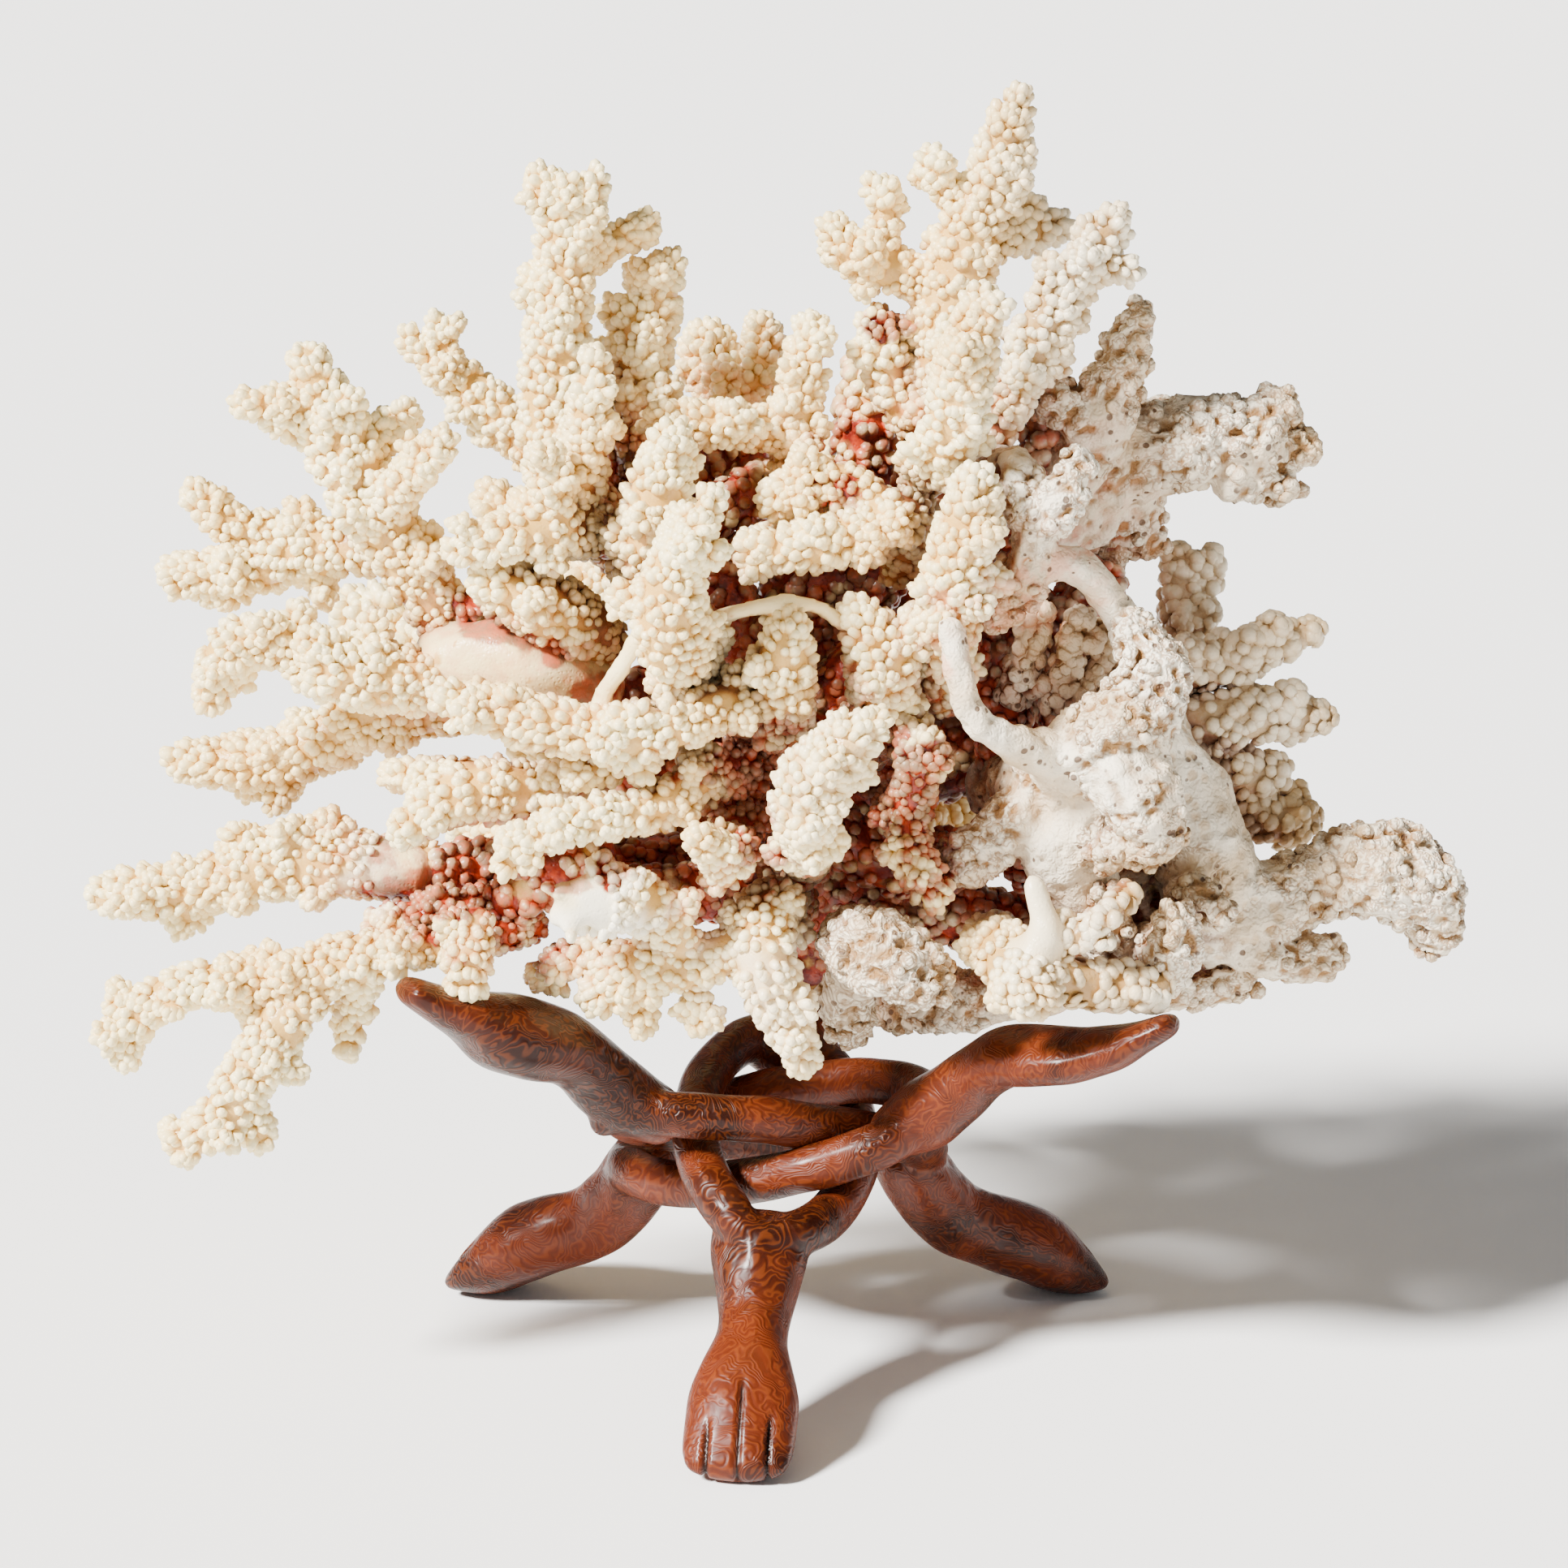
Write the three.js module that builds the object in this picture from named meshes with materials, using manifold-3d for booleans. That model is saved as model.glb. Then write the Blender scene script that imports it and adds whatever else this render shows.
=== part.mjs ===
// A knobbly branching coral resting on a carved wooden stand of three interlocking legs.
// Units are millimetres, +Z is up, the front of the specimen faces -Y.
// The origin is on the floor, below the middle of the whole specimen.

import * as THREE from "three";
import { mergeVertices } from "three/addons/utils/BufferGeometryUtils.js";
import Module from "manifold-3d";

const wasm = await Module();
wasm.setup();

// Driving dimensions
const GAP = 0.3;
const CENTRE_OF_ALL = new THREE.Vector3(1, 18, 0);

// Stand: each leg runs from its foot, through a long eye, to its arm.
const STRAND_RADIUS = 6.5;
const EYE_HALF_WIDTH = 22;
const EYE_HALF_LIFT = 8;
const EYE_HALF_LENGTH = 47;
const EYE_ROUNDNESS = 0.6;
const STRAND_OVERLAP = 9;
const LEG_MIDDLE_HEIGHT = 62.5;
const LEG_SLOPE = 0.27;
const STAND_SIDES = 8;
const STRAND_SIDES = 6;
const STRAND_STEPS = 7;

// Coral: facets round a branch, and the spacing of its rings in branch radii.
const THICK_BRANCH = 9;
const SIDES_THICK = 5;
const SIDES_THIN = 4;
const RING_SPACING = 2.2;
const LUMP_DEPTH = 0.3;
const FACET_ALLOWANCE = 1.14;

// Colours
const BURL_WOOD = { color: 0x9a4f24, roughness: 0.35, metalness: 0 };
const CREAM_CORAL = { color: 0xe9dcc6, roughness: 0.85, metalness: 0 };
const BLEACHED_CORAL = { color: 0xded6c9, roughness: 0.9, metalness: 0 };
const STAINED_CORAL = { color: 0xb98d68, roughness: 0.85, metalness: 0 };

// A seeded source of small chance differences, so that every build is alike.
function chanceSource(seed) {
  let state = seed;
  return () => {
    state = (state * 1664525 + 1013904223) % 4294967296;
    return state / 4294967296;
  };
}

// A closed skin over elliptical sections. Each section has a middle and two half axes, side and rise,
// and swell gives each corner's share of them. The first and last sections are points.
function skin(sections, sides, twist = 0, swell = () => 1) {
  const sheet = new THREE.SphereGeometry(1, sides, sections.length - 1);
  const corners = sheet.attributes.position;
  const corner = new THREE.Vector3();
  sections.forEach((section, row) => {
    for (let column = 0; column <= sides; column += 1) {
      const turn = ((column + twist * (row % 2)) / sides) * 2 * Math.PI;
      const share = swell(row, column % sides);
      corner.copy(section.middle);
      corner.addScaledVector(section.side, share * Math.cos(turn));
      corner.addScaledVector(section.rise, share * Math.sin(turn));
      corners.setXYZ(row * (sides + 1) + column, corner.x, corner.y, corner.z);
    }
  });
  sheet.deleteAttribute("normal");
  sheet.deleteAttribute("uv");
  return solidFrom(sheet);
}

function solidFrom(geometry) {
  const merged = mergeVertices(geometry, 1e-4);
  const mesh = new wasm.Mesh({
    numProp: 3,
    vertProperties: new Float32Array(merged.attributes.position.array),
    triVerts: new Uint32Array(merged.index.array),
  });
  mesh.merge();
  return new wasm.Manifold(mesh);
}

function boxSolid(width, depth, height, place) {
  const box = new THREE.BoxGeometry(width, depth, height);
  box.deleteAttribute("normal");
  box.deleteAttribute("uv");
  box.applyMatrix4(place);
  return solidFrom(box);
}

// The stand

// The share of its full width that a leg's eye has at a place along it: widest in the middle.
function eyeOpening(along) {
  return Math.max(0, 1 - (along / EYE_HALF_LENGTH) ** 2) ** EYE_ROUNDNESS;
}

function ovalSection(along, height, halfWidth, halfHeight, aside = 0) {
  return {
    middle: new THREE.Vector3(aside, along, height),
    side: new THREE.Vector3(halfWidth, 0, 0),
    rise: new THREE.Vector3(0, 0, halfHeight),
  };
}

// Rounds off a run of sections with a point at each end.
function closeEnds(sections, startLength, endLength) {
  const first = sections[0];
  const last = sections[sections.length - 1];
  const point = (near, next, length) => {
    const away = near.middle.clone().sub(next.middle).setLength(length);
    const none = new THREE.Vector3();
    return { middle: near.middle.clone().add(away), side: none, rise: none };
  };
  return [
    point(first, sections[1], startLength),
    ...sections,
    point(last, sections[sections.length - 2], endLength),
  ];
}

// Turns each section's rise square to the run of the sections, and sets its corners half a side
// round from its widest points, so that it is flat below.
function squareUp(sections, sides) {
  const ahead = new THREE.Vector3();
  const halfSide = Math.PI / sides;
  sections.forEach((section, index) => {
    const before = sections[Math.max(index - 1, 0)].middle;
    const after = sections[Math.min(index + 1, sections.length - 1)].middle;
    ahead.subVectors(after, before).normalize();
    const width = section.side.length();
    const height = section.rise.length();
    const across = new THREE.Vector3().crossVectors(ahead, new THREE.Vector3(0, 0, 1));
    const upward = new THREE.Vector3().crossVectors(across, ahead).setLength(height);
    across.setLength(width);
    section.side.copy(across).multiplyScalar(Math.cos(halfSide));
    section.side.addScaledVector(upward, Math.sin(halfSide));
    section.rise.copy(upward).multiplyScalar(Math.cos(halfSide));
    section.rise.addScaledVector(across, -Math.sin(halfSide));
  });
  return sections;
}

// One strand of the eye. hand is -1 for the left strand, which is the upper one, and 1 for the right.
function strandSolid(hand, grow) {
  const sections = [];
  for (let step = 0; step <= STRAND_STEPS; step += 1) {
    const along = -EYE_HALF_LENGTH + (2 * EYE_HALF_LENGTH * step) / STRAND_STEPS;
    const open = eyeOpening(along * 0.985);
    const height = LEG_MIDDLE_HEIGHT + LEG_SLOPE * along - hand * EYE_HALF_LIFT * open;
    const radius = STRAND_RADIUS + grow;
    sections.push(ovalSection(along, height, radius, radius, hand * EYE_HALF_WIDTH * open));
  }
  return skin(
    closeEnds(squareUp(sections, STRAND_SIDES), STRAND_OVERLAP, STRAND_OVERLAP),
    STRAND_SIDES,
  );
}

// The foot and ankle, from the toe back to the eye: place along, height, half width, half height.
const FOOT_RUN = [
  [-100, 2.6, 12, 3.6],
  [-97, 5, 14, 7],
  [-91, 9.6, 15.2, 9.8],
  [-83, 16, 15, 11.2],
  [-73, 20.5, 12.3, 11.2],
  [-64, 24.2, 9.8, 10.6],
  [-57, 28.2, 9.4, 10.6],
  [-50, 35.5, 11.5, 10.6],
  [-44, 42.5, 13.5, 9.5],
  [-39, 48.5, 13, 7],
];

// The arms, from the eye out to the tip, in the same terms.
const REAR_ARM = [
  [38, 72, 12.5, 7],
  [45, 77.5, 13, 9.5],
  [53, 84.5, 11.5, 9.5],
  [61, 91, 11, 8.6],
  [70, 96.5, 13.5, 8.4],
  [81, 100, 15.5, 8],
  [92, 104, 15, 7.4],
  [102, 109.5, 11.5, 5.6],
  [110, 114, 7.5, 3.8],
];
const RIGHT_ARM = [
  [38, 69.5, 12.5, 8],
  [46, 74.8, 13, 10.4],
  [54, 81.3, 11.5, 9.2],
  [62, 89.5, 11.5, 8],
  [70, 95.2, 14, 8.4],
  [81, 96.6, 15.5, 7.4],
  [93, 98.8, 15, 6.8],
  [103, 102.5, 12, 6],
  [112, 107.3, 8, 4.2],
  [118, 111, 5.5, 3],
];
const LEFT_ARM = [
  [38, 74, 12.5, 8.5],
  [46, 78.8, 13, 10],
  [53, 85, 11.5, 10],
  [59, 91.6, 11.5, 8.8],
  [66, 97.2, 14, 10.2],
  [76, 100.9, 15.5, 11],
  [85, 104, 15.5, 10.6],
  [93, 109.3, 13.5, 7.6],
  [102, 114.2, 10.5, 5.4],
  [110, 118.8, 7.5, 3.6],
];

const TOE_GROOVES = [-7.5, 1.5, 8];
const GROOVE = { width: 1.2, depth: 6, height: 40, reach: 103, rise: 8, lean: -0.85 };
const FLOOR_BLOCK = 400;

// bearing is the compass turn of the leg, its foot at the front when it is zero.
function legSolid({ bearing, armRun }, grow) {
  const sectionsOf = (run) =>
    run.map(([along, height, width, depth]) =>
      ovalSection(along, height, width + grow, depth + grow),
    );
  const foot = sectionsOf(FOOT_RUN);
  const arm = sectionsOf(armRun);
  let leg = skin(closeEnds(squareUp(foot, STAND_SIDES), 1.5, 4), STAND_SIDES);
  leg = leg.add(strandSolid(-1, grow));
  leg = leg.add(strandSolid(1, grow));
  leg = leg.add(skin(closeEnds(squareUp(arm, STAND_SIDES), 4, 3), STAND_SIDES));
  if (grow === 0) {
    const underFloor = new THREE.Matrix4().makeTranslation(0, 0, -FLOOR_BLOCK / 2);
    leg = leg.subtract(boxSolid(FLOOR_BLOCK, FLOOR_BLOCK, FLOOR_BLOCK, underFloor));
    for (const aside of TOE_GROOVES) {
      const place = new THREE.Matrix4().makeRotationX(GROOVE.lean);
      place.setPosition(aside, -GROOVE.reach, GROOVE.rise);
      leg = leg.subtract(boxSolid(GROOVE.width, GROOVE.depth, GROOVE.height, place));
    }
  }
  return leg.rotate([0, 0, bearing]);
}

const LEGS = {
  stand_leg_front: { bearing: -6, armRun: REAR_ARM },
  stand_leg_right: { bearing: 119, armRun: LEFT_ARM },
  stand_leg_left: { bearing: 241, armRun: RIGHT_ARM },
};

// The coral

// Branches are laid out on a front elevation of the specimen. Each point has its place across and up
// on the upright sheet through the stand's middle, its depth behind that sheet, and the branch's
// radius there. The elevation is drawn in perspective from this point in front of the specimen.
const VIEWPOINT = new THREE.Vector3(0, -1261, 476);

function onSightLine([across, up, behind, radius]) {
  const onSheet = new THREE.Vector3(across, 0, up);
  const reach = (behind - VIEWPOINT.y) / -VIEWPOINT.y;
  const point = VIEWPOINT.clone().lerp(onSheet, reach);
  return { point, radius: radius * reach * FACET_ALLOWANCE };
}

// A branch: a skin along a smooth curve through its points, with lumps and dents left to chance.
function branchSolid(run, grow, chance) {
  const stops = run.map(onSightLine);
  const curve = new THREE.CatmullRomCurve3(stops.map((stop) => stop.point), false, "centripetal");
  const length = curve.getLength();
  const radiusAt = (share) => {
    const where = curve.getUtoTmapping(share) * (stops.length - 1);
    const before = Math.min(Math.floor(where), stops.length - 2);
    const near = stops[before].radius;
    return near + (stops[before + 1].radius - near) * (where - before);
  };
  const thickest = Math.max(...stops.map((stop) => stop.radius));
  const sides = thickest >= THICK_BRANCH ? SIDES_THICK : SIDES_THIN;
  const tip = radiusAt(1);
  const body = Math.max(length - 0.3 * tip, length * 0.6);
  const rings = Math.max(1, Math.round(body / (thickest * RING_SPACING)));
  const overall = stops[stops.length - 1].point.clone().sub(stops[0].point).normalize();
  const slimAxis = Math.abs(overall.y) < 0.7 ? new THREE.Vector3(0, 1, 0) : new THREE.Vector3(0, 0, 1);
  const sections = [];
  const addSection = (share, radius, beyond) => {
    const ahead = curve.getTangentAt(share);
    const side = new THREE.Vector3().crossVectors(ahead, slimAxis).normalize();
    const rise = new THREE.Vector3().crossVectors(side, ahead).normalize();
    sections.push({
      middle: curve.getPointAt(share).addScaledVector(ahead, beyond),
      side: side.multiplyScalar(radius),
      rise: rise.multiplyScalar(radius),
    });
  };
  addSection(0, 0, -grow - 0.35 * radiusAt(0));
  for (let ring = 0; ring <= rings; ring += 1) {
    const share = (ring / rings) * (body / length);
    addSection(share, radiusAt(share) + grow, 0);
  }
  addSection(1, tip * 0.72 + grow, 0.35 * tip);
  addSection(1, 0, grow + 0.75 * tip);
  const lumps = sections.map(() => Array.from({ length: sides }, () => chance() - 0.5));
  return skin(sections, sides, 0.5, (row, column) => 1 + LUMP_DEPTH * lumps[row][column]);
}

// The short stems that the main limbs fork from. Most of them are hidden inside the colony.
const STEMS = [
  [[12, 112, 30, 16], [6, 150, 24, 20], [2, 190, 18, 19], [18, 240, 14, 13]],
  [[0, 160, 20, 16], [-76, 197, -12, 12]],
  [[0, 185, 18, 15], [-44, 232, 2, 12]],
  [[8, 160, 22, 17], [58, 176, 14, 16], [86, 216, 10, 11]],
  [[8, 195, 20, 15], [46, 250, 2, 12]],
  [[0, 138, 22, 14], [-98, 137, -14, 11]],
  [[12, 136, 24, 14], [84, 116, 4, 12]],
  [[8, 150, 30, 15], [6, 158, 64, 13]],
];

// The limbs, in the order in which they fork off. Each is one or more runs grown together.
const LIMBS = {
  coral_left_crown: [
    [[-74, 199, -14, 11], [-88, 207, -18, 12], [-99, 224, -22, 12], [-111, 243, -24, 13],
      [-119, 262, -24, 12], [-125, 279, -24, 8]],
    [[-116, 260, -24, 8], [-132, 265, -28, 8], [-141, 266, -30, 5.5]],
    [[-112, 250, -24, 8], [-104, 260, -20, 6], [-98, 261, -18, 5]],
    [[-106, 236, -28, 8], [-98, 246, -38, 8], [-89, 255, -44, 6]],
  ],
  coral_left_fan: [
    [[-94, 223, -12, 10], [-112, 227, -8, 11], [-128, 226, -6, 11], [-142, 221, -6, 10],
      [-160, 219, -6, 8]],
    [[-132, 229, -6, 9], [-146, 233, -6, 8], [-155, 241, -6, 6]],
    [[-120, 225, -6, 5], [-122, 215, -6, 4.5]],
  ],
  coral_left_middle: [
    [[-78, 190, -26, 12], [-98, 191, -30, 12], [-116, 193, -34, 12], [-124, 200, -36, 8]],
    [[-114, 190, -32, 10], [-136, 201, -30, 10], [-147, 199, -30, 10], [-152, 186, -30, 7]],
    [[-112, 196, -30, 7], [-108, 207, -30, 5]],
  ],
  coral_left_arm: [
    [[-84, 184, -4, 12], [-108, 181, -2, 12], [-130, 170, 0, 11], [-148, 168, 0, 10],
      [-161, 168, 0, 7]],
    [[-130, 166, 0, 8], [-137, 156, 0, 6]],
  ],
  coral_left_bough: [
    [[-99, 137, -16, 12], [-124, 140, -18, 14], [-144, 138, -18, 13], [-160, 132, -18, 10],
      [-174, 131, -18, 10], [-183, 131, -18, 7]],
    [[-156, 132, -18, 8], [-163, 122, -18, 5]],
  ],
  coral_left_low: [
    [[-66, 122, -22, 8], [-80, 118, -34, 8], [-98, 115, -38, 8], [-116, 112, -38, 11],
      [-137, 106, -38, 9], [-152, 107, -38, 8], [-167, 102, -38, 8], [-177, 94, -38, 8],
      [-179, 84, -38, 6]],
    [[-170, 100, -38, 7], [-180, 99, -38, 6]],
    [[-114, 108, -32, 7], [-117, 92, -28, 6], [-118, 87, -28, 5]],
    [[-82, 124, -46, 8], [-84, 114, -50, 9], [-85, 105, -50, 8]],
  ],
  coral_left_hanging: [
    [[-124, 106, -38, 9], [-137, 92, -40, 11], [-146, 78, -42, 11], [-155, 66, -44, 9],
      [-163, 58, -44, 7]],
    [[-146, 74, -42, 8], [-143, 62, -42, 7]],
  ],
  coral_left_shoulder: [
    [[-46, 200, -22, 12], [-58, 208, -34, 14], [-69, 214, -40, 11], [-79, 217, -42, 6]],
  ],
  coral_left_cheek: [
    [[-52, 158, -10, 10], [-66, 160, -34, 11], [-88, 158, -42, 10], [-101, 149, -44, 7]],
    [[-84, 164, -36, 8], [-99, 163, -30, 7], [-109, 162, -26, 7]],
  ],
  coral_top_left: [
    [[-44, 230, -6, 12], [-55, 245, -14, 13], [-59, 265, -14, 13], [-58, 286, -12, 12],
      [-57, 304, -10, 10], [-60, 318, -10, 8], [-64, 326, -10, 6]],
    [[-55, 299, -10, 8], [-51, 315, -10, 7], [-48, 325, -10, 5]],
    [[-54, 301, -6, 7], [-43, 309, -2, 6], [-34, 314, 0, 5]],
    [[-60, 280, -14, 9], [-66, 296, -14, 6], [-64, 303, -14, 5]],
  ],
  coral_top_middle: [
    [[-34, 234, 4, 11], [-37, 260, 4, 12], [-36, 280, 4, 11], [-31, 297, 4, 9], [-28, 303, 4, 6]],
  ],
  coral_top_front: [
    [[-54, 236, -32, 8], [-50, 256, -36, 8], [-49, 272, -38, 7], [-48, 278, -38, 5]],
    [[-48, 230, -26, 10], [-64, 231, -44, 10], [-78, 228, -46, 8], [-86, 226, -46, 5]],
    [[-58, 234, -42, 8], [-61, 246, -46, 7], [-60, 253, -46, 5]],
  ],
  coral_middle_left: [
    [[-22, 206, -14, 10], [-33, 222, -36, 12], [-32, 240, -42, 12], [-28, 256, -42, 8]],
  ],
  coral_front_lobe: [
    [[-20, 192, -28, 10], [-28, 202, -60, 14], [-28, 217, -66, 12], [-22, 231, -68, 8],
      [-17, 241, -68, 5]],
    [[-30, 210, -62, 9], [-41, 214, -60, 6]],
  ],
  coral_back_left_sprig: [
    [[-52, 240, 30, 9], [-70, 260, 36, 9], [-84, 272, 40, 8], [-97, 283, 40, 5]],
    [[-84, 272, 40, 6], [-90, 287, 40, 4.5]],
  ],
  coral_top_cluster: [
    [[-4, 238, 26, 10], [-12, 262, 34, 11], [-18, 281, 36, 10]],
    [[-11, 264, 34, 9], [-4, 278, 34, 9], [-4, 286, 34, 6]],
  ],
  coral_centre_band: [
    [[8, 232, -4, 9], [4, 256, -14, 9], [8, 276, -12, 8], [9, 286, -10, 6]],
    [[4, 258, -14, 9], [-14, 260, -22, 9], [-31, 261, -24, 7]],
  ],
  coral_top_right: [
    [[44, 248, -2, 12], [46, 270, -8, 13], [47, 290, -10, 13], [50, 308, -10, 12],
      [56, 325, -10, 9], [60, 338, -10, 8], [63, 346, -10, 6]],
    [[42, 256, -4, 11], [32, 270, -6, 10], [27, 286, -8, 8]],
    [[45, 296, -8, 9], [32, 301, -8, 9], [20, 306, -8, 8], [15, 312, -8, 6]],
    [[28, 303, -8, 7], [28, 316, -8, 6], [29, 323, -8, 4]],
    [[50, 316, -10, 7], [42, 326, -10, 6], [40, 331, -10, 5]],
    [[56, 320, -10, 7], [64, 332, -10, 6]],
    [[54, 306, -8, 8], [66, 312, -4, 7], [74, 313, -2, 6]],
  ],
  coral_top_front_lobe: [
    [[38, 244, -12, 9], [46, 258, -42, 11], [51, 280, -48, 10], [54, 293, -46, 7]],
  ],
  coral_right_antler: [
    [[54, 252, -10, 9], [65, 272, -20, 9], [70, 288, -22, 9], [77, 299, -22, 8],
      [86, 303, -22, 7], [93, 301, -22, 5]],
    [[77, 298, -22, 7], [86, 311, -22, 7], [89, 316, -22, 5]],
    [[69, 284, -22, 6], [79, 288, -22, 5]],
  ],
  coral_centre_shelf: [
    [[34, 222, -10, 11], [34, 236, -30, 10], [22, 230, -36, 10], [8, 227, -40, 9],
      [-7, 227, -40, 7]],
    [[28, 238, -30, 9], [14, 245, -28, 9], [0, 240, -30, 8]],
  ],
  coral_centre_lobe: [
    [[44, 186, -14, 10], [46, 206, -42, 12], [49, 224, -50, 12], [53, 243, -52, 9]],
  ],
  coral_mid_right_cluster: [
    [[24, 172, -8, 11], [28, 184, -34, 12], [28, 197, -42, 13], [22, 208, -44, 8]],
    [[28, 196, -42, 9], [38, 207, -44, 7]],
  ],
  coral_mid_cluster: [
    [[2, 168, -12, 11], [2, 182, -40, 11], [1, 194, -50, 12], [4, 205, -52, 7]],
  ],
  coral_front_long: [
    [[-6, 178, -10, 10], [-14, 183, -50, 10], [-34, 176, -58, 10], [-52, 176, -58, 10],
      [-70, 180, -58, 10], [-90, 186, -58, 6]],
    [[-30, 176, -56, 7], [-40, 168, -52, 7], [-55, 164, -52, 5]],
  ],
  coral_front_curved: [
    [[-6, 150, -4, 9], [-14, 166, -36, 8], [-36, 154, -56, 8], [-54, 151, -62, 8],
      [-66, 146, -64, 7], [-74, 138, -64, 4]],
    [[-10, 158, -26, 8], [-12, 141, -48, 9], [-21, 146, -64, 6]],
  ],
  coral_front_white: [
    [[8, 140, -10, 10], [8, 148, -56, 11], [8, 160, -64, 13], [16, 170, -66, 11],
      [27, 179, -66, 6]],
  ],
  coral_pink_stalk: [
    [[30, 150, -6, 8], [36, 158, -36, 8], [40, 170, -42, 8], [36, 180, -38, 6]],
    [[36, 158, -38, 6], [36, 144, -44, 8], [42, 132, -46, 8]],
  ],
  coral_bottom_front: [
    [[4, 128, 0, 11], [-3, 124, -40, 11], [-3, 110, -48, 12], [2, 97, -46, 10], [7, 84, -44, 7]],
    [[-6, 116, -44, 9], [-24, 111, -42, 11], [-38, 111, -40, 10], [-49, 102, -36, 8]],
    [[-36, 108, -40, 7], [-37, 94, -38, 5.5]],
    [[-22, 106, -42, 6], [-21, 94, -40, 5]],
    [[-40, 112, -38, 8], [-58, 112, -30, 7], [-65, 107, -26, 6]],
    [[-26, 116, -44, 8], [-36, 128, -58, 7], [-46, 130, -62, 6], [-60, 125, -64, 2]],
  ],
  coral_brain_plate: [
    [[28, 118, 0, 9], [20, 118, -34, 9], [30, 113, -56, 12], [38, 108, -58, 10]],
    [[22, 112, -30, 8], [19, 102, -20, 8], [20, 94, -18, 7]],
  ],
  coral_eroded_spur: [
    [[72, 240, 0, 10], [84, 256, -6, 9], [89, 270, -8, 9], [96, 289, -8, 5]],
    [[86, 258, -8, 8], [74, 267, -12, 7]],
  ],
  coral_saddle: [
    [[56, 246, -8, 7], [64, 247, -36, 7], [70, 234, -42, 7], [76, 240, -44, 7], [80, 250, -42, 5]],
    [[70, 234, -42, 7], [66, 218, -38, 7], [58, 210, -34, 7]],
    [[68, 222, -38, 6], [80, 222, -36, 5], [90, 212, -32, 5], [95, 202, -30, 5]],
  ],
  coral_right_upper: [
    [[72, 232, 8, 13], [90, 248, 8, 13], [108, 252, 6, 12], [126, 256, 5, 12], [137, 266, 5, 7]],
    [[124, 254, 5, 10], [143, 255, 5, 6]],
    [[122, 250, 5, 9], [137, 246, 5, 6]],
    [[92, 244, 16, 12], [89, 230, 22, 9], [87, 221, 22, 6]],
    [[94, 244, 16, 10], [99, 229, 20, 6]],
  ],
  coral_right_rear: [
    [[96, 190, 20, 10], [110, 200, 28, 10], [109, 214, 30, 9], [107, 224, 30, 6]],
    [[110, 206, 30, 8], [116, 223, 30, 6]],
    [[92, 192, 16, 10], [110, 193, 8, 9], [124, 196, 8, 9], [134, 201, 8, 8], [145, 204, 8, 5]],
    [[128, 198, 8, 7], [133, 206, 8, 5]],
  ],
  coral_right_side: [
    [[96, 178, 14, 12], [112, 178, 6, 11], [130, 181, 6, 10], [147, 180, 6, 6]],
    [[100, 172, 12, 11], [120, 165, 10, 11], [134, 165, 10, 8]],
    [[118, 162, 12, 10], [136, 151, 15, 10], [144, 151, 15, 7]],
  ],
  coral_bleached_sheet: [
    [[60, 160, -4, 10], [76, 166, -36, 11], [94, 178, -46, 13], [102, 192, -42, 10],
      [96, 204, -36, 7]],
    [[90, 170, -44, 12], [98, 160, -50, 12], [103, 148, -50, 9], [91, 142, -46, 6]],
    [[78, 168, -40, 9], [62, 174, -56, 5], [52, 182, -60, 4.5], [47, 204, -58, 4]],
    [[72, 164, -28, 9], [62, 148, -34, 9], [50, 140, -36, 8]],
  ],
  coral_right_hook: [
    [[92, 122, 4, 12], [112, 122, -4, 13], [130, 127, -8, 13], [146, 132, -10, 12],
      [162, 138, -10, 11], [174, 136, -10, 10], [181, 127, -10, 8], [185, 119, -10, 5]],
    [[124, 120, -8, 10], [140, 112, -12, 8], [152, 112, -12, 7]],
    [[112, 127, -8, 8], [114, 131, -34, 6], [121, 126, -38, 5]],
    [[92, 128, -2, 11], [98, 144, -8, 10], [110, 148, -6, 8]],
  ],
  coral_right_foot: [
    [[86, 108, 8, 12], [100, 110, -20, 11], [108, 116, -44, 9], [109, 123, -46, 6]],
    [[96, 112, -24, 9], [90, 122, -38, 8], [90, 129, -40, 5]],
    [[96, 106, -10, 9], [112, 105, -8, 8], [126, 107, -8, 6]],
    [[80, 108, 10, 10], [56, 101, 18, 9], [34, 99, 20, 8]],
  ],
  coral_cream_lumps: [
    [[60, 120, -6, 9], [62, 114, -50, 11], [69, 105, -62, 13]],
    [[70, 112, -58, 8], [73, 122, -60, 4.5], [70, 133, -58, 3.5]],
    [[76, 106, -58, 9], [90, 105, -52, 10], [104, 104, -50, 7]],
  ],
  coral_rear_left_high: [
    [[-26, 212, 24, 11], [-46, 222, 56, 12], [-64, 230, 82, 10], [-76, 240, 98, 7]],
    [[-52, 224, 62, 8], [-58, 244, 66, 6]],
    [[-58, 226, 74, 8], [-76, 218, 84, 6]],
  ],
  coral_rear_left_side: [
    [[-62, 190, 14, 11], [-84, 194, 44, 11], [-104, 204, 60, 9], [-114, 211, 68, 7]],
    [[-88, 196, 48, 8], [-98, 184, 64, 6]],
  ],
  coral_rear_left_low: [
    [[-24, 150, 40, 12], [-46, 150, 66, 12], [-70, 150, 88, 10], [-84, 148, 104, 7]],
    [[-56, 150, 74, 8], [-58, 134, 88, 6]],
    [[-52, 150, 70, 8], [-64, 170, 78, 6]],
  ],
  coral_rear_middle_high: [
    [[6, 218, 36, 12], [2, 236, 62, 12], [-6, 248, 86, 10], [-10, 254, 102, 7]],
    [[0, 240, 70, 8], [16, 252, 78, 6]],
    [[4, 222, 52, 10], [6, 204, 88, 9], [8, 196, 106, 7]],
  ],
  coral_rear_middle_low: [
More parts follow.
